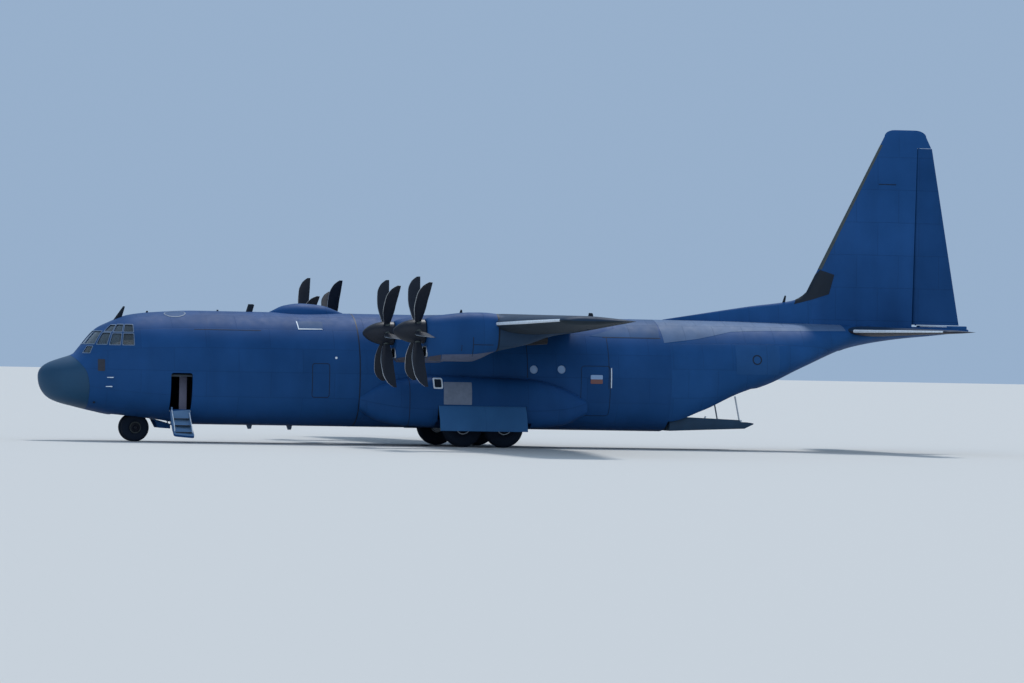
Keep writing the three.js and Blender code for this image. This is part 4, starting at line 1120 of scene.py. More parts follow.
@dataclass
class Cockpit(SubAssembly):
    """The cockpit's shell with its windows, glass and nose gear bay."""

    wall: float = 80
    start: float = 640
    end: float = 5799
    pilot_station: float = 3200
    reach: float = 1650
    corner: float = 34
    # Columns: two angles from dead ahead about the pilots' line, sill and head heights
    panes: tuple[tuple[float, float, float, float], ...] = (
        (14, 39, 3440, 3880),
        (43, 56, 3430, 3830),
        (59.5, 72, 3420, 3810),
        (75, 88, 3420, 3810),
        (44, 57, 3890, 4110),
        (59.5, 72, 3880, 4130),
        (75, 88, 3880, 4130),
        (27, 38, 3120, 3340),
    )
    centre_pane: tuple[float, float, float, float] = (-11, 11, 3440, 3880)
    doorway: tuple[Flat, Flat] = ((4430, 1130), (5190, 2460))
    bay: tuple[Flat, Flat, Flat] = ((2550, 4700), (-570, 570), (0, 1950))

    def pane(self, row: tuple[float, float, float, float], grow: float = 0) -> Shape:
        """Makes the wedge that a window takes out of the shell.

        Args:
            row: the pane's two angles, sill and head.
            grow: how much larger it is, in millimetres.

        Returns:
            The wedge.
        """
        low, high, sill, head = row
        arc = math.radians(1) * self.reach
        outline = rounded((low * arc - grow, sill - grow), (high * arc + grow, head + grow), self.corner)
        middle = (low + high) / 2 * arc

        def at(along: float, height: float, radius: float) -> Point:
            way = along / self.reach
            out = radius / math.cos((along - middle) / self.reach)
            return (self.pilot_station - out * math.cos(way), out * math.sin(way), height)

        return loft([[at(a, z, radius) for a, z in outline] for radius in (500, 2800)])

    def rim(self, row: tuple[float, float, float, float]) -> Shape:
        """Returns the ring-shaped wedge round a pane."""
        wide, thin = self.pane(row, 26).points, self.pane(row, 0.5).points
        count = len(wide) // 2
        return hollow_loft([wide[:count], wide[count:]], [thin[:count], thin[count:]], 0)

    def windows(self, make: Callable[[tuple[float, float, float, float]], Shape]) -> Shape:
        """Returns the wedges of all the panes, each made by a function."""
        side = Shape().join(*[make(row) for row in self.panes])
        return side.both().join(make(self.centre_pane))

    def build(self) -> None:
        """Makes the shell, the glass, the window frames and the bay."""
        shop, paint = self.shop, self.shop.paint
        wedges = self.windows(self.pane)
        (front, sill), (back, head) = self.doorway
        door = prism(rounded((front, sill), (back, head), 90), Axis.SPAN, -BEYOND, -900)
        well = block(*self.bay)
        hinge = CrewDoor(shop).hinge()
        groove = tube([(front - 2, *hinge[1:]), (back + 2, *hinge[1:])], 46, 24)
        skin = HULL.wall(self.start, self.end, 110, self.wall)
        cuts = [Radome(shop).ahead(), wedges, door, groove, well]
        shop.place("cockpit_skin", skin, [paint.hull, paint.dark], nodes=["cockpit_shell"], cuts=cuts)
        bulkhead = loft([HULL.loop(1550, 60), HULL.loop(1580, 60)])
        shop.place("nose_bulkhead", bulkhead, [paint.dark])
        glass = HULL.wall(1300, 3600, 110, 40, outset=-22)
        panes = self.windows(lambda row: self.pane(row, -1.5))
        clear, node = [paint.glass, paint.glass], "windshield_glass"
        shop.place("cockpit_glass", glass, clear, "window_glass", nodes=[node], trim=panes)
        frames = HULL.wall(1300, 3600, 110, 10, outset=9)
        shop.place("window_frames", frames, [paint.mullion, paint.mullion], trim=self.windows(self.rim))


@dataclass
class CrewDoor(SubAssembly):
    """The crew door with its steps, folded down on its sill hinge."""

    start: float = 4430
    end: float = 5190
    sill: float = 1130
    head: float = 2460
    open_angle: float = 117
    hinge_height: float = 1122
    hinge_line: float = -1762.5
    lining: float = 70
    clearance: float = 14
    wall: float = 80
    step_distances: tuple[float, ...] = (300, 570, 840)
    step_half: Flat = (290, 110)
    step_slope: float = 41
    barrel: float = 34

    def hinge(self) -> Point:
        """Returns the middle of the hinge line."""
        return ((self.start + self.end) / 2, self.hinge_line, self.hinge_height)

    def opened(self, shape: Shape) -> Shape:
        """Returns a shape turned from closed to open."""
        return shape.turned(Axis.STATION, self.open_angle, self.hinge())

    def treads(self) -> Shape:
        """Returns the steps in their open place."""
        middle, line, level = self.hinge()
        fall = math.tan(math.radians(self.step_slope))
        half, depth = self.step_half
        shape = Shape()
        for distance in self.step_distances:
            y, z = line - distance, level - distance * fall
            shape.join(block((middle - half, middle + half), (y - depth, y + depth), (z - 26, z)))
        return shape

    def build(self) -> None:
        """Makes the door."""
        shop, paint = self.shop, self.shop.paint
        _, line, level = self.hinge()
        gap = self.clearance
        corners = rounded((self.start + gap, self.sill + gap), (self.end - gap, self.head - gap), 80)
        wall = HULL.wall(self.start - 100, self.end + 100, 60, self.wall)
        room = prism(corners, Axis.SPAN, -BEYOND, line + self.lining)
        door = self.opened(shop.common(wall, room))
        body = "crew_door"
        shop.place("crew_door_panel", door, [paint.hull, paint.door], "door_paint", body, [body])
        rod = tube([(self.start + 1, line, level), (self.end - 1, line, level)], self.barrel, 20)
        shop.place("crew_door_hinge_barrel", rod, [paint.steel], "cargo_metal", body)
        shop.place("crew_door_steps", self.treads(), [paint.tread], "cargo_metal", body, bevel=6)
        layer = HULL.wall(self.start - 100, self.end + 100, 60, 108, outset=-78)
        strips, rails = Shape(), Shape()
        for station in (self.start + 40, self.end - 90):
            strips.join(block((station, station + 50), (-BEYOND, -900), (1210, 2290)))
            rails.join(self.rail(station + 25))
        stringers = self.opened(shop.common(layer, strips))
        shop.place("crew_door_stringers", stringers, [paint.door, paint.door], "door_paint", body)
        shop.place("crew_door_rails", self.opened(rails), [paint.pale], "cargo_metal", body)
        panel = block((4865, 5134), (-1230, -1190), (1100, 2360))
        shop.place("lobby_panel", panel, [paint.lobby], "cabin_trim", bevel=6)

    def rail(self, station: float) -> Shape:
        """Returns one handrail in the closed door's place."""
        path = []
        for height, off in ((1230, -10), (1300, 90), (1420, 135), (2060, 135), (2180, 90), (2250, -10)):
            path.append((station, off + self.wall - HULL.half_width(station, height), height))
        return tube(path, 14, 10)


@dataclass
class Fuselage(SubAssembly):
    """The hull aft of the cockpit, with its openings and what lies on its skin."""

    front: float = 5801
    split: float = 11190
    rear: float = 22600
    cavity_end: float = 29900
    wall: float = 100
    tail_wall: float = 70
    bay: tuple[Flat, Flat] = ((13850, 17350), (1620, BEYOND))
    bay_roof: float = 2100
    bay_wall: float = 60
    door: tuple[Flat, Flat] = ((19260, 1190), (20330, 2960))
    windows: tuple[Point, ...] = ((17510, 2800, 150), (18530, 2820, 150))
    # Station, span, half length and half width
    roof_hatch: tuple[float, ...] = (4750, 640, 390, 330)
    # Columns: station, half width of the tail's opening
    opening: tuple[Flat, ...] = ((22500, 1700), (25700, 1640), (25950, 1500), (27700, 1230), (29350, 880))
    # Corners of the opening's upper edge, seen from the side
    opening_roof: tuple[Flat, ...] = ((29400, 4000), (27700, 3600), (25000, 2800), (22500, 2200))
    # Columns: station, top, half width
    roof_fairing: tuple[Point, ...] = (
        (8270, 4690, 90),
        (8800, 4930, 400),
        (9360, 5010, 480),
        (10100, 4960, 420),
        (10930, 4690, 90),
    )
    fairing_foot: float = 4600

    def build(self) -> None:
        """Makes the hull's three lengths and their details."""
        self.forward()
        self.centre()
        self.tail()
        self.inside()

    def porthole(self, window: Point) -> Shape:
        """Returns a bar through the starboard wall at a round window."""
        station, height, radius = window
        return tube([(station, 1500, height), (station, BEYOND, height)], radius, 32)

    def forward(self) -> None:
        """Makes the forward length and its aerial fairing."""
        shop, paint = self.shop, self.shop.paint
        skin = HULL.wall(self.front, self.split - 8, 900, self.wall)
        finishes = [paint.hull, paint.lining]
        shop.place("forward_skin", skin, finishes, nodes=["forward_fuselage"])
        table = SmoothTable(self.roof_fairing)
        first, last, foot = table.rows[0][0], table.rows[-1][0], self.fairing_foot
        rows = [table.at(station) for station in even(first, last, 24)]
        loops = [arch(station, half, foot, top - foot, 20) for station, top, half in rows]
        shop.place("aerial_fairing", loft(loops), [paint.hull])
        seam = HULL.wall(self.split - 20, self.split + 20, 40, self.wall, outset=3)
        shop.place("production_seam", seam, [paint.dark, paint.lining])
        hatch = rounded((9460, 1670), (10100, 2890), 90)
        hole = rounded((9484, 1694), (10076, 2866), 72)
        shop.plate("hatch_seam", hatch, paint.dark, Side.LEFT, hole, proud=3)
        self.marks()

    def marks(self) -> None:
        """Lays the seams, panels and small lamps on both flanks."""
        shop, paint = self.shop, self.shop.paint
        # The pale L-shaped rim along the roof plate's front and lower edges is a painted highlight.
        rim = [(9030, 4370), (9050, 4075), (9960, 4090), (9900, 4112), (9085, 4112), (9062, 4370)]
        rows = (
            ("nose_panel", rounded((1900, 2480), (2140, 2900), 30), paint.maroon, 7),
            ("crown_seam", rounded((5300, 4000), (7700, 4022), 5), paint.dark, 3),
            ("roof_plate", rounded((9050, 4090), (9960, 4370), 40), paint.fillet, 6),
            ("roof_plate_highlight", rim, paint.pale, 12),
            ("mid_seam_a", rounded((12960, 2450), (12984, 4000), 5), paint.dark, 3),
            ("mid_seam_b", rounded((17270, 2500), (17294, 4000), 5), paint.dark, 3),
            ("rear_seam", rounded((20150, 3990), (22300, 4014), 5), paint.dark, 4),
            ("frame_seam", rounded((20270, 2150), (20292, 3990), 5), paint.dark, 3),
            ("lamp_b", rounded((10290, 3050), (10370, 3130), 35), paint.pale, 10),
            ("nose_dot", rounded((1800, 1330), (1880, 1410), 35), paint.dark, 10),
        )
        for name, outline, finish, proud in rows:
            for side, word in SIDES:
                shop.plate(f"{name}_{word}", outline, finish, side, proud=proud)
        # The plate aft of the wing root is a painted highlight: lighter paint for the sky mirrored on the
        # upper skin.
        fillet = [(19700, 4040), (20116, 4016), (22270, 4016), (22330, 4690), (21500, 4690), (20762, 4348)]
        # The roof band is a painted highlight: lighter paint where light grazes the rear roof.
        band = [(22340, 4690), (22410, 3838), (23700, 4010), (25000, 4290), (26035, 4340)]
        band += [(29350, 4400), (29350, 4690)]
        for name, outline, finish in (("wing_root_highlight", fillet, paint.fillet), ("roof_highlight_band", band, paint.top)):
            for side, word in SIDES:
                shop.plate(f"{name}_{word}", outline, finish, side, proud=5, reach=(2, BEYOND))
        x, y, long, wide = self.roof_hatch
        oval, hole = [[(x + (long - n) * a, y + (wide - n) * b) for a, b in circle(1, 40)] for n in (0, 40)]
        for word, finish, proud, trim, cuts in (
            ("rim", paint.mullion, 14, oval, [prism(hole, Axis.HEIGHT, *ABOVE).on(Side.LEFT)]),
            ("lid", paint.fillet, 9, hole, []),
        ):
            layer = HULL.wall(4300, 5200, 100, 12, outset=proud)
            room = prism(trim, Axis.HEIGHT, *ABOVE).on(Side.LEFT)
            shop.place(f"roof_hatch_{word}", layer, [finish, finish], trim=room, cuts=cuts)

    def centre(self) -> None:
        """Makes the centre length with its bays, doors and windows."""
        shop, paint = self.shop, self.shop.paint
        (start, end), (inner, outer) = self.bay
        bay = block((start, end), (inner, outer), (0, self.bay_roof))
        low, high = self.door
        gap = 5
        opening = rounded(low, high, 130)
        doorway = prism(opening, Axis.SPAN, *FLANK)
        door_outline = rounded((low[0] + gap, low[1] + gap), (high[0] - gap, high[1] - gap), 125)
        cuts = [bay.both(), doorway.both()]
        cuts += [self.porthole(window).both() for window in self.windows]
        skin = HULL.wall(self.split + 8, self.rear - 1, 950, self.wall)
        lined = [paint.hull, paint.lining]
        shop.place("centre_skin", skin, lined, nodes=["centre_fuselage"], cuts=cuts)
        # The paratroop door's window is a painted reflection: sky above, a reddish tone below.
        halves = (("low", 2330, 2490, paint.warm_reflection), ("high", 2486, 2645, paint.sky))
        edge = self.bay_wall
        liner = block((start - edge, end + edge), (inner - edge, outer), (900, self.bay_roof + edge))
        for side, word in SIDES:
            trim = HULL.solid(start - 200, end + 200, 900, 4)
            name = f"wheel_bay_liner_{word}"
            shop.place(name, liner.on(side), [paint.lining], cuts=[bay.on(side)], trim=trim)
            room = prism(door_outline, Axis.SPAN, *FLANK).on(side)
            panel = HULL.wall(low[0] - 60, high[0] + 60, 300, 60)
            node = f"paratroop_door_{word}"
            shop.place(f"paratroop_door_panel_{word}", panel, lined, nodes=[node], trim=room)
            for half, bottom, top, finish in halves:
                cover = rounded((19600, bottom), (20045, top), 40)
                shop.plate(f"paratroop_window_{half}_{word}", cover, finish, side, proud=12)
            for number, (x, z, r) in enumerate(self.windows):
                ring, hole, pane = [disc((x, z), r + more) for more in (26, -4, 1)]
                shop.plate(f"window_ring_{word}_{number}", ring, paint.hull, side, hole, proud=8)
                # The round panes are an opaque painted sky reflection.
                glass = HULL.wall(x - 220, x + 220, 110, 36, outset=-16)
                trim = prism(pane, Axis.SPAN, *FLANK).on(side)
                name = f"window_pane_{word}_{number}"
                shop.place(name, glass, [paint.sky, paint.sky], "window_glass", trim=trim)
            seam = rounded((low[0] - 14, low[1] - 14), (high[0] + 14, high[1] + 14), 140)
            shop.plate(f"paratroop_door_seam_{word}", seam, paint.dark, side, opening, proud=3)
            strip = rounded((high[0] + 20, 2190), (high[0] + 56, 2900), 10)
            shop.plate(f"paratroop_door_strip_{word}", strip, paint.pale, side, proud=14)

    def tail(self) -> None:
        """Makes the tail length with the ramp's opening."""
        shop, paint = self.shop, self.shop.paint
        cavity = HULL.solid(self.rear - 200, self.cavity_end, 240, self.tail_wall).tagged(1)
        plan = [*self.opening, *[(x, -y) for x, y in reversed(self.opening)]]
        under = [(22500, 0), (29400, 0), *self.opening_roof]
        hole = shop.common(prism(under, Axis.SPAN, -2500, 2500), prism(plan, Axis.HEIGHT, -100, 4200))
        skin = HULL.solid(self.rear + 1, LENGTH, 230)
        lined = [paint.rear, paint.lining]
        shop.place("tail_skin", skin, lined, nodes=["tail_fuselage"], cuts=[cavity, hole])
        patch = rounded((25020, 2760), (26670, 3820), 40)
        shop.plate("tail_patch_left", patch, paint.patch, Side.LEFT, proud=7)
        ring, inner = [disc((25800, 3290), radius) for radius in (180, 138)]
        shop.plate("tail_patch_ring_left", ring, paint.dark, Side.LEFT, inner, proud=11)
        foot = block((32420, 34300), (-110, 110), (4530, 4666))
        shop.place("tail_cone_fairing", foot, [paint.rear], bevel=30)
        # A painted highlight: the pale strip stands for light caught in the gap under the rudder.
        line = block((32500, 33520), (-114, 114), (4622, 4648))
        shop.place("tail_cone_highlight", line, [paint.pale], bevel=4)

    def inside(self) -> None:
        """Makes the hold's frames."""
        shop, paint = self.shop, self.shop.paint
        openings = ((17340, 17680), (18360, 18700), (self.door[0][0], self.door[1][0]))
        busy = [(start - 60, end + 60) for start, end in openings]
        room = block((5000, 30000), (-BEYOND, BEYOND), (1032, 5000))
        hoops = Shape()
        for number in range(31):
            station = 6260 + number * 560
            if any(low < station < high for low, high in busy) or station > self.rear - 100:
                continue
            outer = [HULL.loop(s, self.wall + 1) for s in (station, station + 45)]
            inner = [HULL.loop(s, self.wall + 48) for s in (station, station + 45)]
            hoops.join(hollow_loft(outer, inner, 0))
        shop.place("hold_frames", hoops, [paint.lining], "cabin_trim", trim=room)


@dataclass(frozen=True)
class SideFairing(Form):
    """The wheel fairing on the hull's starboard side."""

    inner_line: float = 1300
    sides: int = 56
    power: float = 3
    # Columns: station, top, bottom, outer half width
    table: SmoothTable = SmoothTable(
        (
            (11200, 1800, 1250, 2120),
            (11900, 2180, 880, 2440),
            (12900, 2430, 720, 2720),
            (13850, 2520, 700, 2800),
            (17350, 2450, 700, 2800),
            (18500, 2180, 800, 2640),
            (19500, 1750, 1200, 2160),
        )
    )

    def loop(self, station: float, inset: float = 0) -> Loop:
        """Returns a section, inset all round."""
        _, top, bottom, outer = self.table.at(station)
        middle, height = (self.inner_line + outer) / 2, (top + bottom) / 2
        half, reach = (outer - self.inner_line) / 2 - inset, (top - bottom) / 2 - inset
        bent = squarish(self.power, self.sides)
        return [(station, middle + half * a, height + reach * b) for a, b in bent]


@dataclass
class GearFairings(SubAssembly):
    """Both wheel fairings, their doors and what lies on them."""

    form: SideFairing = SideFairing()
    bay: tuple[Flat, Flat, Flat] = ((13850, 17350), (1000, 2640), (0, 2100))
    door: tuple[Flat, Flat] = ((13920, 580), (17100, 1470))
    spread: float = 400
    hinge_line: float = 2745
    thickness: float = 32

    def build(self) -> None:
        """Makes both sides."""
        shop, paint = self.shop, self.shop.paint
        (start, low), (end, high) = self.door
        hull = HULL.solid(11000, 19800, 900)
        cuts = [hull, block(*self.bay), block((start - 20, end + 20), FLANK, (0, high))]
        crown, line, thick, spread = high - 1, self.hinge_line, self.thickness, self.spread
        middle = (crown + low) / 2
        outline = [
            (line, crown),
            (line + thick, crown),
            (line + spread * 0.75, middle),
            (line + spread + thick, low),
            (line + spread, low),
            (line + spread * 0.75 - thick, middle),
        ]
        for side, word in SIDES:
            shape = self.form.solid(0, LENGTH, 190).on(side)
            node, room = f"sponson_{word}", [cut.on(side) for cut in cuts]
            shop.place(f"sponson_skin_{word}", shape, [paint.hull], nodes=[node], cuts=room)
            panel = prism(outline, Axis.STATION, start, end).on(side)
            name = f"gear_door_panel_{word}"
            shop.place(name, panel, [paint.light], "door_paint", nodes=[f"main_gear_door_{word}"], bevel=6)
            ribs, head = Shape(), crown - 60
            for number in range(7):
                station = start + 180 + number * 470
                corners = [(line - 30, head), (line, head), (line + 200, middle), (line + 130, middle)]
                ribs.join(prism(corners, Axis.STATION, station, station + 40))
            shop.place(f"gear_door_ribs_{word}", ribs.on(side), [paint.lining], "door_paint", bevel=4)
        form = self.form
        beige = rounded((14100, 1510), (15120, 2306), 30)
        shop.plate("service_panel_left", beige, paint.beige, Side.LEFT, proud=8, form=form)
        seam = [(12880, 700), (12902, 700), (12902, 2440), (12880, 2440)]
        shop.plate("sponson_seam_left", seam, paint.dark, Side.LEFT, proud=3, form=form)
        vent = rounded((13720, 2060), (14070, 2450), 60)
        hole = rounded((13770, 2110), (14020, 2400), 40)
        shop.plate("sponson_vent_frame_left", vent, paint.pale, Side.LEFT, hole, proud=14, form=form)
        # The dark plate inside the vent's frame is painted shade in its opening.
        shop.plate("sponson_vent_shade_left", hole, paint.dark, Side.LEFT, proud=6, form=form)


class Place(Enum):
    """How a flying surface lies."""

    WING = "span to starboard"
    FIN = "span upwards"


@dataclass(frozen=True)
class Foil:
    """A tapered flying surface with a symmetric section and a rounded tip."""

    place: Place
    # Columns: span position, leading edge, chord, thickness, height
    rows: tuple[tuple[float, float, float, float, float], ...]
    count: int = 18
    tip_steps: int = 6

    def row(self, span: float) -> tuple[float, ...]:
        """Returns the row at a span position."""
        spans = [row[0] for row in self.rows]
        return tuple(float(np.interp(span, spans, [row[i] for row in self.rows])) for i in range(5))

    def half_thickness(self, share: float, thickness: float) -> float:
        """Returns half the section's thickness at a share of its chord."""
        thick = 0.2969 * math.sqrt(share) - 0.126 * share - 0.3516 * share**2
        return 5 * thickness * (thick + 0.2843 * share**3 - 0.1015 * share**4)

    def point(self, row: Sequence[float], station: float, offset: float) -> Point:
        """Returns a section's point at a station and offset from its middle line."""
        span, height = row[0], row[4]
        if self.place is Place.WING:
            return (station, span, height + offset)
        return (station, height + offset, span)

    def loop(self, row: Sequence[float], grow: float = 0) -> Loop:
        """Returns the whole section of a row."""
        _, lead, chord, thickness, _ = row
        upper = []
        for share in shares(self.count):
            station = lead - grow + share * (chord + 2 * grow)
            offset = self.half_thickness(share, thickness) + (grow if share > 0 else 0)
            upper.append((station, offset))
        return [self.point(row, x, z) for x, z in both_faces(upper)]

    def tip(self) -> list[tuple[float, ...]]:
        """Returns rows that round off the tip, between the last two rows."""
        start, end = self.rows[-2], self.rows[-1]
        rows = []
        for step in range(1, self.tip_steps + 1):
            turn = math.pi / 2 * step / self.tip_steps
            ahead, fade = math.sin(turn), math.cos(turn)
            span = start[0] + (end[0] - start[0]) * ahead
            lead = start[1] + (end[1] - start[1]) * (1 - fade)
            chord = start[2] + (end[2] - start[2]) * (1 - fade)
            thickness = max(start[3] * fade, end[3] * 0.3)
            rows.append((span, lead, chord, thickness, start[4] + (end[4] - start[4]) * ahead))
        return rows

    def spans(self, start: float, end: float, step: float) -> list[tuple[float, ...]]:
        """Returns rows from one span position to another, about a step apart."""
        last = min(end, self.rows[-2][0])
        rows = [self.row(span) for span in spaced(start, last, step)]
        return rows + self.tip() if end > last else rows

    def solid(self, start: float, end: float, step: float = 1500, grow: float = 0) -> Shape:
        """Returns the solid between two span positions."""
        return loft([self.loop(row, grow) for row in self.spans(start, end, step)])


@dataclass(frozen=True)
class Movable:
    """A hinged surface of a foil, with the bay that it turns in."""

    foil: Foil
    start: float
    end: float
    hinge: Callable[[Sequence[float]], float]
    clearance: float = 14
    gap: float = 50
    knuckle: Flat = (30, 25)
    root: float = 80
    step: float = 900

    def ends(self) -> list[tuple[float, ...]]:
        """Returns the rows at its two ends."""
        return [self.foil.row(self.start), self.foil.row(self.end)]

    def radius(self, row: Sequence[float]) -> float:
        """Returns the radius of its round nose."""
        _, lead, chord, thickness, _ = row
        return self.foil.half_thickness((self.hinge(row) - lead) / chord, thickness)

    def loop(self, row: Sequence[float]) -> Loop:
        """Returns its section at a row."""
        _, lead, chord, thickness, _ = row
        hinge, radius = self.hinge(row), self.radius(row)
        nose = []
        for step in range(9):
            turn = math.pi * (0.5 + step / 8)
            nose.append((hinge + radius * math.cos(turn), radius * math.sin(turn)))
        tail = []
        first = (hinge - lead) / chord
        for step in range(1, 7):
            share = first + (1 - first) * step / 6
            tail.append((lead + share * chord, self.foil.half_thickness(share, thickness)))
        corners = nose + [(x, -z) for x, z in tail] + tail[::-1]
        return [self.foil.point(row, x, z) for x, z in corners]

    def body(self) -> Shape:
        """Returns the surface with its knuckles."""
        spans = spaced(self.start, self.end, self.step)
        shape = loft([self.loop(self.foil.row(span)) for span in spans])
        radius, length = self.knuckle
        for end, inward in ((0, 1), (1, -1)):
            reach = (self.point(end, -inward * length), self.point(end, inward * self.root))
            shape.join(tube(reach, radius, 16))
        return shape

    def point(self, end: int, distance: float) -> Point:
        """Returns a point of the hinge line, a distance outboard of one of its ends."""
        rows = self.ends()
        line = [Vector(self.foil.point(row, self.hinge(row), 0)) for row in rows]
        along = (line[1] - line[0]).normalized()
        return tuple(line[end] + along * distance)

    def pins(self) -> Shape:
        """Returns the fixed pins beyond its ends."""
        radius, length = self.knuckle
        shape = Shape()
        for end, outward in ((0, -1), (1, 1)):
            reach = (self.point(end, outward * (length + 1)), self.point(end, outward * self.root))
            shape.join(tube(reach, radius, 16))
        return shape

    def bay(self) -> Shape:
        """Returns the room that is cut out of the foil behind its front wall."""
        loops = []
        for number, row in enumerate(self.ends()):
            front = self.hinge(row) - self.radius(row) - self.clearance
            edge = (row[0] + (self.gap if number else -self.gap), *row[1:])
            back, far = front + BEYOND, BEYOND
            corners = [(front, -far), (back, -far), (back, far), (front, far)]
            loops.append([self.foil.point(edge, x, z) for x, z in corners])
        return loft(loops)


WING = Foil(
    Place.WING,
    (
        (0, 14150, 4880, 880, 4300),
        (5590, 14150, 4880, 880, 4300),
        (19850, 14170, 2560, 310, 4455),
        (20205, 14420, 2040, 120, 4460),
    ),
    22,
)
TAILPLANE = Foil(
    Place.WING, ((0, 29200, 3300, 396, 4400), (7800, 30950, 1200, 120, 4400), (8025, 31150, 900, 45, 4400))
)
# Span positions are heights here, and heights are the centre line
FIN = Foil(
    Place.FIN,
    (
        (4300, 27430, 6650, 800, 0),
        (11250, 30890, 1960, 200, 0),
        (11560, 31045, 1600, 140, 0),
        (11810, 31430, 780, 50, 0),
    ),
    22,
)


@dataclass
class Wing(SubAssembly):
    """The high wing with its flaps and ailerons."""

    split: float = 5590
    hinge_share: float = 0.75

    def hinge(self, row: Sequence[float]) -> float:
        """Returns the hinge line's station at a row."""
        return row[1] + self.hinge_share * row[2]

    def under(self, place: Vector) -> bool:
        """Tells whether a starboard place is below the wing's middle, where the wing takes its painted
        shade.
        """
        return place.z < WING.row(abs(place.y))[4]

    def build(self) -> None:
        """Makes the centre, both panels and their hinged surfaces."""
        shop, paint = self.shop, self.shop.paint
        inner = Movable(WING, 2350, 5500, self.hinge)
        outer = Movable(WING, 5685, 12150, self.hinge)
        aileron = Movable(WING, 12350, 19500, self.hinge)
        spans = (-self.split, 0, self.split)
        centre = loft([WING.loop((span, *WING.row(0)[1:])) for span in spans])
        centre.tagged(1, self.under)
        # The undersides take the darker paint, which is painted shade.
        coats = [paint.plan, paint.shade]
        cuts = [inner.bay().both()]
        shop.place("wing_centre_skin", centre, coats, nodes=["wing_centre"], cuts=cuts)
        for side, word in SIDES:
            panel = WING.solid(self.split + 1, 20205).tagged(1, self.under).on(side)
            cuts = [outer.bay().on(side), aileron.bay().on(side)]
            shop.place(f"wing_skin_{word}", panel, coats, nodes=[f"wing_{word}"], cuts=cuts)
            pins = Shape().join(inner.pins(), outer.pins(), aileron.pins())
            shop.place(f"wing_pins_{word}", pins.on(side), [paint.steel], "cargo_metal")
            for kind, part in (("flap_inner", inner), ("flap_outer", outer), ("aileron", aileron)):
                body = f"{kind}_{word}"
                skin = part.body().tagged(1, self.under).on(side)
                shop.place(f"{kind}_skin_{word}", skin, coats, "airframe_paint", body, [body])
            lamp = tube([(14500, 20060, 4455), (14760, 20120, 4460)], (34, 26), 16)
            shop.place(f"tip_lamp_{word}", lamp.on(side), [paint.pale], "window_glass")
            # A painted highlight: a pale strip along the leading edge stands for light on it.
            edge = WING.solid(5700, 19850, 1500, 4).on(side)
            corners = [(14000, 5600), (14156, 5600), (14187, 19900), (14000, 19900)]
            room = prism(corners, Axis.HEIGHT, *ABOVE)
            shop.place(f"wing_edge_highlight_{word}", edge, [paint.pale], trim=room.on(side))


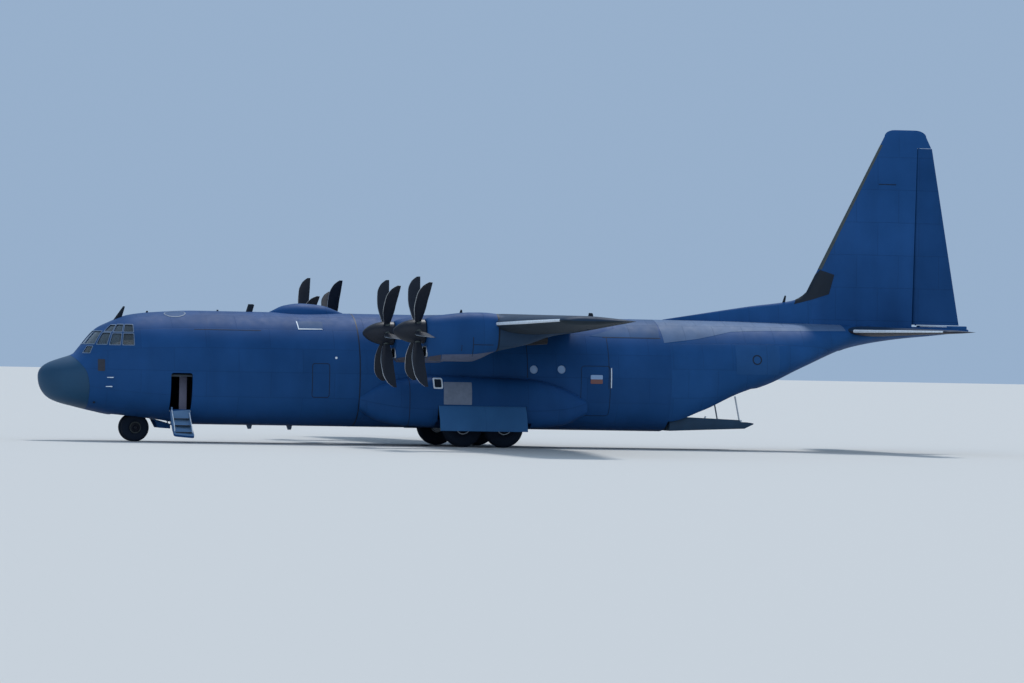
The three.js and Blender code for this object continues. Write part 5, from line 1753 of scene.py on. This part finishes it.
@dataclass
class Tail(SubAssembly):
    """The fin, rudder, stabilizer and elevators."""

    elevator_hinge: float = 31500
    rudder_hinge: float = 32360
    rudder_span: Flat = (4690, 11150)
    # Columns: station, top, half width at the roof
    dorsal: SmoothTable = SmoothTable(
        (
            (22780, 4700, 60),
            (26040, 5240, 200),
            (27680, 5490, 290),
            (28120, 5740, 300),
            (28300, 6000, 300),
        )
    )
    dorsal_foot: float = 4560

    def under(self, place: Vector) -> bool:
        """Tells whether a place is below the tailplane's middle, where it takes its painted shade."""
        return place.z < TAILPLANE.rows[0][4]

    def fillet(self, grow: float = 0) -> Shape:
        """Returns the dorsal fillet, grown by a distance."""
        first, last, foot = self.dorsal.rows[0][0], self.dorsal.rows[-1][0], self.dorsal_foot
        rows = [self.dorsal.at(station) for station in even(first, last, 40)]
        return loft([arch(x, half + grow, foot, top + grow - foot, 16, 1.3) for x, top, half in rows])

    def build(self) -> None:
        """Makes the four surfaces and the dorsal fillet."""
        shop, paint = self.shop, self.shop.paint
        elevator = Movable(TAILPLANE, 1000, 7600, lambda row: self.elevator_hinge)
        rudder = Movable(FIN, *self.rudder_span, lambda row: self.rudder_hinge, gap=13)
        half = TAILPLANE.spans(0, 8025, 1300)
        port = [(-row[0], *row[1:]) for row in reversed(half[1:])]
        plane = loft([TAILPLANE.loop(row) for row in (*port, *half)]).tagged(1, self.under)
        # The undersides take the darker, warmer paint, which is painted shade.
        coats = [paint.plan, paint.under]
        cuts = [elevator.bay().both()]
        shop.place("stabilizer_skin", plane, coats, nodes=["stabilizer"], cuts=cuts)
        shop.place("elevator_pins", elevator.pins().both(), [paint.steel], "cargo_metal")
        for side, word in SIDES:
            body = f"elevator_{word}"
            skin = elevator.body().tagged(1, self.under).on(side)
            shop.place(f"elevator_skin_{word}", skin, coats, "airframe_paint", body, [body])
        radius = rudder.radius(FIN.row(self.rudder_span[0]))
        spar = self.rudder_hinge - radius - rudder.clearance
        room = block((spar, LENGTH), (-500, 500), (4000, self.rudder_span[0]))
        blade = FIN.solid(4300, 11810, 500)
        hull = HULL.solid(26000, LENGTH, 300)
        cuts = [rudder.bay(), room, hull]
        shop.place("fin_skin", blade, [paint.side], nodes=["fin"], cuts=cuts)
        # A painted highlight: a greyer strip along the fin's leading edge stands for light on it.
        (foot, lead, *_), (head, end, *_) = FIN.rows[:2]
        slope = (end - lead) / (head - foot)
        edge = ((-400, 6640), (110, 6640), (80, head), (-400, head))
        corners = [(lead + slope * (z - foot) + x, z) for x, z in edge]
        room = prism(corners, Axis.SPAN, -900, 900)
        shop.place("fin_edge_highlight", FIN.solid(6000, head + 200, 500, 4), [paint.grey_and_highlight], trim=room)
        strip = block((30820, 31470), (-170, 170), (9785, 9813))
        shop.place("fin_strip", strip, [paint.dark], bevel=4)
        shop.place("rudder_skin", rudder.body(), [paint.rudder], "airframe_paint", "rudder", ["rudder"])
        shop.place("dorsal_fillet", self.fillet(), [paint.rear])
        corners = [(27680, 5350), (27900, 5800), (28650, 6620), (29150, 6450), (28950, 5740), (28300, 5520)]
        reach = prism(corners, Axis.SPAN, -700, -2)
        for word, base in (("fin", FIN.solid(5000, 7500, 500, 9)), ("dorsal", self.fillet(9))):
            shop.place(f"{word}_panel_left", base, [paint.dark], trim=reach)
        # A painted highlight: a pale strip along the stabilizer's leading edge stands for light on its top.
        edge = TAILPLANE.solid(1500, 7800, 1000, 4)
        room = prism([(29000, 1400), (29550, 1400), (30980, 7800), (30500, 7800)], Axis.HEIGHT, 4000, 5000)
        for side, word in SIDES:
            name = f"stabilizer_edge_highlight_{word}"
            shop.place(name, edge.on(side), [paint.pale], trim=room.on(side))


@dataclass
class Powerplant(SubAssembly, Form):
    """A nacelle with its intake, exhaust and engine, and its propeller."""

    number: int
    line: float
    thrust: float
    rest: float
    sides: int = 48
    power: float = 2.3
    # Columns: station, top and bottom from the thrust line, half width
    table: SmoothTable = SmoothTable(
        (
            (11790, 430, -900, 470),
            (11930, 490, -1000, 560),
            (12620, 610, -1000, 620),
            (13360, 680, -995, 620),
            (13775, 685, -860, 612),
            (14121, 665, -685, 600),
            (15343, 350, -390, 510),
            (16308, 225, -60, 330),
            (16900, 200, 50, 180),
        )
    )
    propeller_station: float = 11500
    # Columns: distance behind the blades' plane, radius
    spinner: SmoothTable = SmoothTable(
        ((-820, 0), (-760, 120), (-560, 270), (-300, 370), (0, 415), (250, 415)),
        lambda distance: math.sqrt(distance + 820),
    )
    # Columns: radius, chord, thickness, sweep aft, twist in degrees
    blade: SmoothTable = SmoothTable(
        (
            (330, 190, 170, 0, 16),
            (620, 330, 95, -10, 13),
            (1050, 440, 56, -15, 7),
            (1550, 430, 36, 20, 0),
            (1900, 300, 22, 110, -5),
            (2055, 120, 12, 210, -7),
        )
    )
    blade_count: int = 6

    def loop(self, station: float, inset: float = 0) -> Loop:
        """Returns a section of the nacelle."""
        _, top, bottom, half = self.table.at(station)
        middle, reach = (top + bottom) / 2, (top - bottom) / 2 - inset
        bent = squarish(self.power, self.sides)
        return [(station, self.line + (half - inset) * a, self.thrust + middle + reach * b) for a, b in bent]

    def nacelle(self) -> None:
        """Makes the nacelle, intake lip and exhaust."""
        shop, paint = self.shop, self.shop.paint
        line, thrust = self.line, self.thrust
        rows = [(11792, 45), (11800, 22), (11822, 5)]
        loops = [self.loop(station, inset) for station, inset in rows]
        loops += [self.loop(station) for station in even(11860, self.table.rows[-1][0], 42)]
        intake = rounded((line - 330, thrust - 840), (line + 330, thrust - 520), 130)
        duct = prism(intake, Axis.STATION, 11700, 12500, 1)
        path = [(14900, line, thrust - 180), (15500, line, thrust - 190), (16050, line, thrust - 160)]
        skin = loft(loops).tagged(2, lambda middle: middle.x > 14290)
        finishes = [paint.hull, paint.dark, paint.grey]
        nodes = [f"nacelle_{self.number}", f"engine_{self.number}"]
        cuts = [duct, tube(path, 180, 24, 1)]
        shop.place(f"nacelle_skin_{self.number}", skin, finishes, nodes=nodes, cuts=cuts)
        belly = [(12350, -1200), (13600, -1200), (14180, -640), (13450, -740), (12300, -775)]
        marks = (
            ("rear_seam", [(14235, -650), (14290, -650), (14290, 800), (14235, 800)], paint.dark, 4),
            ("cowl_seam", [(13345, -840), (13369, -840), (13369, -160), (13345, -160)], paint.dark, 4),
            ("door_seam", [(13345, -432), (14080, -432), (14080, -410), (13345, -410)], paint.dark, 4),
            ("front_seam", [(12950, -650), (12970, -650), (12970, -440), (12950, -440)], paint.dark, 4),
            ("belly_band", belly, paint.belly, 4),
            ("belly_front", [(11800, -1240), (12330, -1200), (12280, -780), (11800, -870)], paint.brown, 4),
        )
        reach = (line - 900, line + 900)
        for word, outline, finish, proud in marks:
            corners = [(x, thrust + z) for x, z in outline]
            name = f"nacelle_{word}_{self.number}"
            shop.plate(name, corners, finish, Side.RIGHT, proud=proud, form=self, reach=reach)
        lip = rounded((line - 356, thrust - 866), (line + 356, thrust - 494), 150)
        ring = frame(lip, intake, Axis.STATION, 11772, 11860)
        shop.place(f"intake_lip_{self.number}", ring, [paint.edge], "engine_metal", bevel=10)
        # The pipes' near-black is partly the exhaust's own dark metal and partly painted shade under the
        # nacelle.
        stack = pipe(path, (230, 215, 200), (184, 176, 168))
        shop.place(f"exhaust_pipe_{self.number}", stack, [paint.exhaust, paint.dark], "engine_metal")
        block_end = tube([(12150, line, thrust), (14080, line, thrust)], 330, 32)
        shop.place(f"engine_core_{self.number}", block_end, [paint.exhaust], "engine_metal")

    def blade_loop(self, radius: float) -> Loop:
        """Returns a blade's section at a radius, about the hub's middle."""
        _, chord, thickness, sweep, twist = self.blade.at(radius)
        upper = [(-chord / 2 + share * chord, WING.half_thickness(share, thickness)) for share in shares(10)]
        corners = both_faces(upper)
        cos, sin = math.cos(math.radians(twist)), math.sin(math.radians(twist))
        return [(x * cos - y * sin + sweep, x * sin + y * cos, radius) for x, y in corners]

    def round_hub(self, shape: Shape) -> Shape:
        """Returns a shape once for each blade, round the propeller's line."""
        step = 360 / self.blade_count
        angles = [step * i + self.rest for i in range(self.blade_count)]
        turned = [shape.turned(Axis.STATION, angle, (0, 0, 0)) for angle in angles]
        return Shape().join(*turned).moved(self.propeller_station, self.line, self.thrust)

    def blades(self) -> Shape:
        """Returns all the blades, with their leading edges tagged 1."""
        radii = even(self.blade.rows[0][0], self.blade.rows[-1][0], 22)
        shape = loft([self.blade_loop(radius) for radius in radii])
        per_ring = len(self.blade_loop(radii[0]))
        for number in range(len(radii) - 1):
            for place in (0, per_ring - 1):
                shape.tags[number * per_ring + place] = 1
        return self.round_hub(shape)

    def propeller(self) -> None:
        """Makes the spinner and the blades."""
        shop, paint = self.shop, self.shop.paint
        distances = [-820 + 820 * (i / 16) ** 2 for i in range(17)] + [120, 250]
        profile = [(self.spinner.at(d)[1], d) for d in distances] + [(0, 250)]
        centre = (self.propeller_station, self.line, self.thrust)
        cone = lathe(profile, Axis.STATION, centre, 48)
        name = f"propeller_{self.number}"
        shop.place(f"spinner_{self.number}", cone, [paint.blade], "propeller_black", name, [name])
        finishes = [paint.blade, paint.edge]
        shop.place(f"blades_{self.number}", self.blades(), finishes, "propeller_black", name)
        cuffs = self.round_hub(tube([(0, 0, 330), (0, 0, 440)], (118, 104), 24))
        shop.place(f"blade_cuffs_{self.number}", cuffs, [paint.grey_and_highlight], "propeller_black", name, bevel=6)

    def build(self) -> None:
        """Makes the nacelle and the propeller."""
        self.nacelle()
        self.propeller()


@dataclass
class Wheel:
    """A tyre on its rim."""

    radius: float
    rim: float
    half_width: float
    bore: float
    # Columns: shares of the tyre's radius and of its half width
    wall: tuple[Flat, ...] = (
        (0.5, 0.93), (0.64, 1.0), (0.78, 0.98), (0.88, 0.9), (0.95, 0.76), (0.985, 0.6), (0.995, 0.5)
    )

    def tyre(self, centre: Point) -> Shape:
        """Returns a tyre with grooves round its tread."""
        radius, rim, half = self.radius, self.rim, self.half_width
        side = [(rim + 2, 0.66), (rim + 22, 0.74)]
        side += [(radius * share, width) for share, width in self.wall]
        profile = [(r, -half * share) for r, share in side]
        groove = half * 0.045
        for line in (-0.36, -0.12, 0.12, 0.36):
            middle = line * half
            depth = radius - 16
            profile += [(radius, middle - groove * 1.4), (depth, middle - groove)]
            profile += [(depth, middle + groove), (radius, middle + groove * 1.4)]
        profile += [(r, half * share) for r, share in reversed(side)]
        return lathe(profile, Axis.SPAN, centre, 64)

    def hub(self, centre: Point) -> Shape:
        """Returns a rim with its flanges and bolts."""
        rim, half, bore = self.rim, self.half_width * 0.8, self.bore
        profile = [(bore, -half * 0.7), (bore + 34, -half * 0.78), (rim * 0.52, -half * 0.5)]
        profile += [(rim * 0.8, -half * 0.42), (rim * 0.9, -half), (rim, -half)]
        profile += [(r, -y) for r, y in reversed(profile)]
        shape = lathe(profile, Axis.SPAN, centre, 48)
        for a, b in circle(rim * 0.66, 10):
            x, z = centre[0] + a, centre[2] + b
            reach = [(x, centre[1] - half * 0.56, z), (x, centre[1] + half * 0.56, z)]
            shape.join(tube(reach, rim * 0.05, 8))
        for face in (-half, half + 5):
            edge = [(rim * 0.88, face), (rim - 3, face), (rim - 3, face - 5), (rim * 0.88, face - 5)]
            shape.join(lathe([(r, y) for r, y in edge], Axis.SPAN, centre, 48, 1))
        return shape


@dataclass
class MainGear(SubAssembly):
    """Both main legs with two wheels each."""

    stations: tuple[tuple[str, float], ...] = (("front", 14910), ("rear", 16410))
    wheel_line: float = 2170
    leg_line: float = 1770
    wheel: Wheel = field(default_factory=lambda: Wheel(710, 260, 255, 62))
    # Columns: lower and upper ends, radius, number of the finish
    strut: tuple[tuple[float, ...], ...] = (
        (1250, 2099, 110, 0), (1235, 1300, 128, 0), (640, 1240, 80, 1), (590, 800, 104, 0)
    )

    def leg(self, station: float) -> Shape:
        """Returns one starboard strut, with its polished piston tagged 1."""
        line, axle = self.leg_line, self.wheel.radius
        shape = Shape()
        for low, high, radius, tag in self.strut:
            shape.join(tube([(station, line, low), (station, line, high)], radius, 28, tag))
        for inner, outer, radius, sides in ((line - 90, 2440, 60, 24), (1880, 1925, 215, 32)):
            shape.join(tube([(station, inner, axle), (station, outer, axle)], radius, sides))
        return shape

    def links(self, station: float) -> Shape:
        """Returns the folding links beside a starboard strut."""
        line = self.leg_line
        shape = Shape()
        for low, high, near, far in ((740, 1010, 70, 240), (1010, 1290, 240, 90)):
            for x in (station + 120, station - 120):
                shape.join(tube([(x, line + near, low), (x, line + far, high)], 22, 10))
        return shape

    def build(self) -> None:
        """Makes both sides."""
        shop, paint = self.shop, self.shop.paint
        for side, word in SIDES:
            legs = Shape()
            for place, station in self.stations:
                legs.join(self.leg(station))
                centre = (station, self.wheel_line, self.wheel.radius)
                body = f"main_wheel_{word}_{place}"
                tyre, hub = self.wheel.tyre(centre).on(side), self.wheel.hub(centre).on(side)
                node = f"main_tyre_{word}_{place}"
                shop.place(f"{node}_rubber", tyre, [paint.tyre], "tyre_rubber", body, [node])
                shop.place(f"{body}_hub", hub, [paint.blade, paint.gear], "gear_paint", body, [body])
            first, last = self.stations[0][1], self.stations[-1][1]
            line = self.leg_line
            legs.join(block((first, last), (line - 60, line + 60), (1480, 1620)))
            name = f"main_leg_struts_{word}"
            finishes = [paint.gear, paint.steel]
            shop.place(name, legs.on(side), finishes, "gear_paint", nodes=[f"main_legs_{word}"], bevel=4)
            links = Shape().join(*[self.links(station) for _, station in self.stations])
            shop.place(f"main_leg_links_{word}", links.on(side), [paint.gear], "gear_paint")


@dataclass
class NoseGear(SubAssembly):
    """The nose leg, its steering fork and twin wheels."""

    station: float = 3450
    line: float = 285
    collar: float = 930
    roof: float = 1949
    bay_end: float = 4700
    bay_half: float = 569
    wheel: Wheel = field(default_factory=lambda: Wheel(495, 205, 162, 42))

    def build(self) -> None:
        """Makes the leg, fork, wheels and the bay's rear door."""
        shop, paint = self.shop, self.shop.paint
        x, axle = self.station, self.wheel.radius
        leg = tube([(x, 0, self.collar + 1), (x, 0, self.roof)], 95, 28)
        leg.join(tube([(x, 0, 1250), (self.bay_end - 300, 0, self.roof - 60)], 45, 16))
        leg.join(block((4300, 4500), (-60, 60), (1830, self.roof)))
        leg.join(tube([(x, -self.bay_half, 1750), (x, self.bay_half, 1750)], 60, 16))
        leg.join(tube([(x, 0, self.collar + 1), (x, 0, self.collar + 90)], 118, 28))
        shop.place("nose_leg_strut", leg, [paint.gear], "gear_paint", nodes=["nose_leg"], bevel=4)
        fork = tube([(x, 0, axle), (x, 0, self.collar - 30)], 62, 28, 1)
        fork.join(tube([(x, 0, self.collar - 60), (x, 0, self.collar)], 105, 28))
        fork.join(tube([(x, -110, axle), (x, 110, axle)], 85, 28))
        for side in (-1, 1):
            link = [(x + 70, 45 * side, 560), (x + 210, 40 * side, 720), (x + 70, 40 * side, 900)]
            fork.join(tube(link, 20, 10))
        finishes = [paint.gear, paint.steel]
        shop.place("nose_fork_piston", fork, finishes, "gear_paint", "nose_fork", ["nose_fork"])
        hubs = tube([(x, -self.line - 140, axle), (x, self.line + 140, axle)], 40, 20)
        hubs.join(self.wheel.hub((x, self.line, axle)).both())
        body = "nose_wheels"
        shop.place("nose_hubs", hubs, [paint.blade, paint.grey_and_highlight], "gear_paint", body, [body])
        for side, word in SIDES:
            tyre = self.wheel.tyre((x, self.line, axle)).on(side)
            node = f"nose_tyre_{word}"
            shop.place(f"{node}_rubber", tyre, [paint.tyre], "tyre_rubber", "nose_wheels", [node])
        panel = prism([(4090, 790), (4750, 600), (4750, 628), (4090, 818)], Axis.SPAN, -430, 430)
        shop.place("nose_gear_rear_door", panel, [paint.light], "door_paint", bevel=5)
        cheek = [(4100, 800), (4260, 500), (4700, 475), (4700, 640), (4150, 795)]
        cheeks = prism(cheek, Axis.SPAN, 412, 430).both()
        shop.place("nose_gear_door_cheeks", cheeks, [paint.hull], "door_paint", bevel=4)
        arms = block((4710, 4750), (370, 410), (610, 850)).both()
        shop.place("nose_gear_door_arms", arms, [paint.gear], "gear_paint", bevel=4)


@dataclass
class Hold(SubAssembly):
    """The cargo floor, the ramp and the door above it."""

    floor_top: float = 1030
    half_width: float = 1559
    ramp_hinge: tuple[float, float] = (22680, 930)
    ramp_half: float = 1580
    lug_line: float = 1000
    door_hinge: tuple[float, float] = (29240, 3790)
    door_front: float = 25960
    rest_angle: float = 2

    def build(self) -> None:
        """Makes the floor, the ramp and the aft door."""
        self.floor()
        self.ramp()
        self.aft_door()

    def floor(self) -> None:
        """Makes the cargo floor with its roller tracks."""
        shop, paint = self.shop, self.shop.paint
        top = self.floor_top
        slab = block((5000, 22599), (-self.half_width, self.half_width), (top - 100, top))
        hinge, height = self.ramp_hinge
        lugs = Shape()
        for line in (-self.lug_line, self.lug_line):
            lugs.join(block((22400, hinge), (line - 45, line + 45), (height - 50, height + 50)))
            lugs.join(tube([(hinge, line - 45, height), (hinge, line + 45, height)], 50, 24))
            lugs.join(tube([(hinge, line - 69, height), (hinge, line + 69, height)], 25, 16))
        room = HULL.solid(4900, 22700, 900, 101)
        shop.place("hold_floor", slab, [paint.deck], "cargo_metal", nodes=["cargo_floor"], trim=room)
        shop.place("ramp_lugs", lugs, [paint.gear], "cargo_metal", bevel=4)
        tracks = Shape()
        for line in (-1050, -420, 420, 1050):
            tracks.join(block((6000, 22400), (line - 45, line + 45), (top, top + 14)))
        shop.place("roller_tracks", tracks, [paint.steel], "cargo_metal", bevel=3)

    def ramp(self) -> None:
        """Makes the ramp with its rails and arms."""
        shop, paint = self.shop, self.shop.paint
        half, top = self.ramp_half, self.floor_top
        outline = [(22700, 680), (25500, 800), (25830, 960), (25830, 1000), (25600, top), (22700, top)]
        notch = block((22600, 22800), (self.lug_line - 70, self.lug_line + 70), (0, 2000)).both()
        deck = prism(outline, Axis.SPAN, -half, half)
        body = "cargo_ramp"
        shop.place("ramp_deck", deck, [paint.ramp], "ramp_paint", body, [body], [notch], bevel=5)
        edge = [(22900, 1000), (25400, 1000), (25300, 1110), (23100, 1190)]
        rail = prism(edge, Axis.SPAN, half - 90, half - 1)
        shop.place("ramp_rails", rail.both(), [paint.ramp], "ramp_paint", body, bevel=6)
        arms = Shape()
        for foot, head, height in ((23950, 24050, 1230), (25330, 25130, 1960)):
            arms.join(tube([(foot, half - 60, 980), (head, half - 60, height)], 28, 16))
            arms.join(block((foot - 60, foot + 60), (half - 110, half - 2), (960, 1110)))
        shop.place("ramp_arms", arms.both(), [paint.gear], "ramp_paint", body, bevel=4)

    def aft_door(self) -> None:
        """Makes the door drawn up under the tail's roof."""
        shop, paint = self.shop, self.shop.paint
        hinge, height = self.door_hinge
        front = self.door_front

        def half(station: float) -> float:
            return 1430 + (station - front) / (hinge - front) * (800 - 1430)

        loops = []
        for station in even(hinge, front, 8):
            reach = half(station)
            corners = [(reach, -45), (reach, 45), (-reach, 45), (-reach, -45)]
            loops.append([(station, y, height + z) for y, z in corners])
        panel = loft(loops)
        ribs = Shape()
        for share in (0.2, 0.45, 0.7, 0.92):
            station = hinge + share * (front - hinge)
            reach = half(station) - 40
            ribs.join(block((station - 25, station + 25), (-reach, reach), (height + 44, height + 110)))
        barrel = tube([(hinge, -812, height), (hinge, 812, height)], 50, 24)
        centre = (hinge, 0, height)
        for name, shape, finish, nodes in (
            ("aft_door_panel", panel, paint.lining, ["aft_cargo_door"]),
            ("aft_door_ribs", ribs, paint.lining, []),
            ("aft_door_barrel", barrel, paint.steel, []),
        ):
            turned = shape.turned(Axis.SPAN, self.rest_angle, centre)
            shop.place(name, turned, [finish], "door_paint", "aft_cargo_door", nodes, bevel=5)
        pins = tube([(hinge, 813, height), (hinge, 1040, height)], 30, 16).both()
        shop.place("aft_door_pins", pins, [paint.steel], "cargo_metal")


@dataclass
class FlightDeck(SubAssembly):
    """The cockpit's floor, instruments and seats."""

    top: float = 2400
    inset: float = 81
    # How far a seat's back leans aft for each millimetre of height
    lean: float = 0.17
    pad_power: float = 5

    def build(self) -> None:
        """Makes the deck and both seats."""
        shop, paint = self.shop, self.shop.paint
        slab = block((1900, 5400), (-BEYOND, BEYOND), (self.top - 70, self.top))
        room = HULL.solid(1700, 5600, 200, self.inset)
        notch = block((4430, 5190), (-BEYOND, -1940), (2000, 2600))
        deck = ["flight_deck"]
        shop.place("deck_slab", slab, [paint.deck], "cabin_trim", nodes=deck, trim=room, cuts=[notch])
        outline = [(2330, 2900), (2420, 2920), (2380, 3330), (2180, 3340), (2120, 3180)]
        panel = prism(outline, Axis.SPAN, -1150, 1150)
        stand = block((2180, 2400), (-1000, 1000), (self.top, 2960))
        console = [(2300, self.top), (3050, self.top), (3050, 2820), (2400, 3000)]
        cabinet = Shape().join(panel, stand, prism(console, Axis.SPAN, -210, 210))
        shop.place("instrument_panel", cabinet, [paint.dark], "cabin_trim", bevel=10)
        screens = Shape()
        for line in (-860, -520, -170, 170, 520, 860):
            corners = [(2412, 2960), (2424, 2960), (2398, 3280), (2386, 3280)]
            screens.join(prism(corners, Axis.SPAN, line - 140, line + 140))
        shop.place("display_screens", screens, [paint.screen], "cabin_trim", bevel=4)
        for side, word in SIDES:
            self.seat(side, word)

    def cushion(self, low: Point, high: Point) -> Shape:
        """Returns a pad with crowned faces and soft edges between two corners."""
        middle = [(a + b) / 2 for a, b in zip(low, high)]
        half = [(b - a) / 2 for a, b in zip(low, high)]
        loops = []
        for ring in range(13):
            lift = -math.pi / 2 + math.pi * ring / 12
            out, up = (power_of(value, self.pad_power) for value in (math.cos(lift), math.sin(lift)))
            x, y, z = (middle[0], middle[1], middle[2] + half[2] * up)
            bent = squarish(self.pad_power, 32)
            loops.append([(x + half[0] * out * a, y + half[1] * out * b, z) for a, b in bent])
        return loft(loops, capped=False)

    def seat(self, side: Side, word: str) -> None:
        """Makes one seat.

        Args:
            side: the side that it is on.
            word: the side's word in names.
        """
        shop, paint = self.shop, self.shop.paint
        base = block((3080, 3330), (420, 700), (self.top + 1, 2720))
        for low in (290, 770):
            base.join(block((3020, 3500), (low, low + 60), (2960, 3010)))
            base.join(block((3380, 3440), (low, low + 60), (2800, 3000)))
        name = f"seat_frame_{word}"
        shop.place(name, base.on(side), [paint.dark], "cargo_metal", nodes=[f"seat_{word}"], bevel=8)
        seat = self.cushion((2960, 300, 2700), (3470, 820, 2840))
        back = self.cushion((3400, 312, 2760), (3520, 808, 3460))
        back.points = [(x + (z - 2760) * self.lean, y, z) for x, y, z in back.points]
        head = self.cushion((3545, 432, 3445), (3650, 688, 3640))
        for kind, pad in (("seat", seat), ("back", back), ("head", head)):
            piece = shop.place(f"{kind}_cushion_{word}", pad.on(side), [paint.seat], "seat_cover", sharp=60)


@dataclass
class Fittings(SubAssembly):
    """Aerials and probes on the skin."""

    # Columns: station of the root, heights of the root and tip, chord, sweep, share of the chord at the tip
    aerials: tuple[tuple[float, ...], ...] = (
        (2610, 4230, 4785, 300, 0.7, 0.25),
        (7410, 4640, 4950, 240, 0.3, 0.95),
        (7480, 720, 500, 260, 0.38, 0.5),
        (8930, 720, 490, 260, 0.38, 0.5),
        (19960, 4600, 4880, 250, 0.2, 0.6),
        (15200, 4700, 4905, 150, 0.3, 0.4),
        (27240, 5330, 5660, 130, 0.35, 0.5),
        (6330, 4640, 4730, 110, 0.5, 0.5),
        (3780, 4500, 4640, 120, 0.4, 0.5),
    )
    probes: tuple[Flat, ...] = ((2420, 2260), (2390, 1940))

    def aerial(self, row: Sequence[float]) -> Shape:
        """Returns a swept blade aerial on the centre line."""
        station, low, high, chord, sweep, taper = row
        loops = []
        for share in (0, 0.35, 0.7, 0.92, 1):
            length = chord * (1 - (1 - taper) * share) * (0.75 if share == 1 else 1)
            lead = station + sweep * abs(high - low) * share
            upper = [(lead + s * length, WING.half_thickness(s, 36 * (1 - 0.5 * share))) for s in shares(6)]
            loops.append([(x, y, low + (high - low) * share) for x, y in both_faces(upper)])
        return loft(loops)

    def probe(self, station: float, height: float) -> Shape:
        """Returns an air probe on the starboard skin, which points ahead."""
        skin = HULL.half_width(station, height)
        bends = ((0, -20), (20, 60), (60, 75), (230, 75))
        path = [(station - ahead, skin + out, height) for ahead, out in bends]
        return tube(path, (26, 22, 18, 12), 12)

    def build(self) -> None:
        """Makes every fitting."""
        shop, paint = self.shop, self.shop.paint
        for number, row in enumerate(self.aerials):
            finish = paint.mullion if row[2] < row[1] else paint.dark
            shop.place(f"blade_aerial_{number + 1}", self.aerial(row), [finish])
        probes = Shape().join(*[self.probe(*place) for place in self.probes])
        shop.place("air_probes", probes.both(), [paint.pale], "cargo_metal")


@dataclass
class Studio:
    """The plain floor, the soft light and the camera."""

    camera_place: Point = (-22.495, -97.437, 1.6)
    heading: float = -13
    pitch: float = 0.1705
    roll: float = 1.05
    lens: float = 194.98
    sensor: float = 36
    floor_color: Point = (0.60, 0.59, 0.56)
    sky_color: Point = (0.52, 0.72, 1.0)
    floor_reach: float = 400.0

    def build(self) -> None:
        """Makes the floor, lights, world and camera."""
        scene = bpy.context.scene
        scene.view_settings.view_transform = "Standard"
        nodes = Nodes("studio_floor")
        nodes.fill(nodes.shader, {"Base Color": (*self.floor_color, 1), "Roughness": 0.9})
        mesh = bpy.data.meshes.new("studio_floor")
        reach = self.floor_reach
        corners = [(-reach, -reach, 0), (reach, -reach, 0), (reach, reach, 0), (-reach, reach, 0)]
        mesh.from_pydata(corners, [], [(0, 1, 2, 3)])
        mesh.materials.append(nodes.material)
        floor = bpy.data.objects.new("studio_floor", mesh)
        scene.collection.objects.link(floor)
        floor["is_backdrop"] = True
        world = bpy.data.worlds.new("studio_sky")
        world.use_nodes = True
        sky = world.node_tree.nodes["Background"]
        nodes.fill(sky, {"Color": (*self.sky_color, 1), "Strength": 0.6})
        scene.world = world
        self.sun("key_sun", 2.0, 10, (0.35, 0.75, 1.3))
        self.sun("fill_sun", 0.5, 60, (-0.5, -1.0, 0.55))
        self.camera(scene)

    def sun(self, name: str, energy: float, angle: float, toward: Point) -> None:
        """Adds a soft sun.

        Args:
            name: its name.
            energy: its strength.
            angle: how wide it looks, in degrees.
            toward: the direction in which it stands.
        """
        light = bpy.data.lights.new(name, "SUN")
        light.energy = energy
        light.angle = math.radians(angle)
        lamp = bpy.data.objects.new(name, light)
        lamp.rotation_euler = Vector(toward).to_track_quat("Z", "Y").to_euler()
        bpy.context.scene.collection.objects.link(lamp)

    def camera(self, scene: bpy.types.Scene) -> None:
        """Adds the camera at the photograph's angle."""
        data = bpy.data.cameras.new("photo_camera")
        data.lens = self.lens
        data.sensor_width = self.sensor
        data.clip_end = 1000
        made = bpy.data.objects.new("photo_camera", data)
        turn = Matrix.Rotation(math.radians(self.heading), 4, "Z")
        tilt = Matrix.Rotation(math.radians(90 + self.pitch), 4, "X")
        roll = Matrix.Rotation(math.radians(self.roll), 4, "Z")
        made.matrix_world = Matrix.Translation(self.camera_place) @ turn @ tilt @ roll
        scene.collection.objects.link(made)
        scene.camera = made


# Columns: span and height of the thrust line, turn of the blades at rest, in degrees
THRUST_LINES = ((-10160, 4050, -24), (-4940, 3980, -24), (4940, 3980, 19), (10160, 4050, -10))


def main() -> None:
    """Builds every piece round the frame."""
    logging.basicConfig(level=logging.INFO, format="%(message)s")
    shop = Workshop()
    for kind in (Radome, Cockpit, CrewDoor, Fuselage, GearFairings, Wing, Tail):
        kind(shop).build()
    for number, row in enumerate(THRUST_LINES, 1):
        Powerplant(shop, number, *row).build()
    for kind in (MainGear, NoseGear, Hold, FlightDeck, Fittings):
        kind(shop).build()
    Studio().build()


if __name__ == "__main__":
    main()
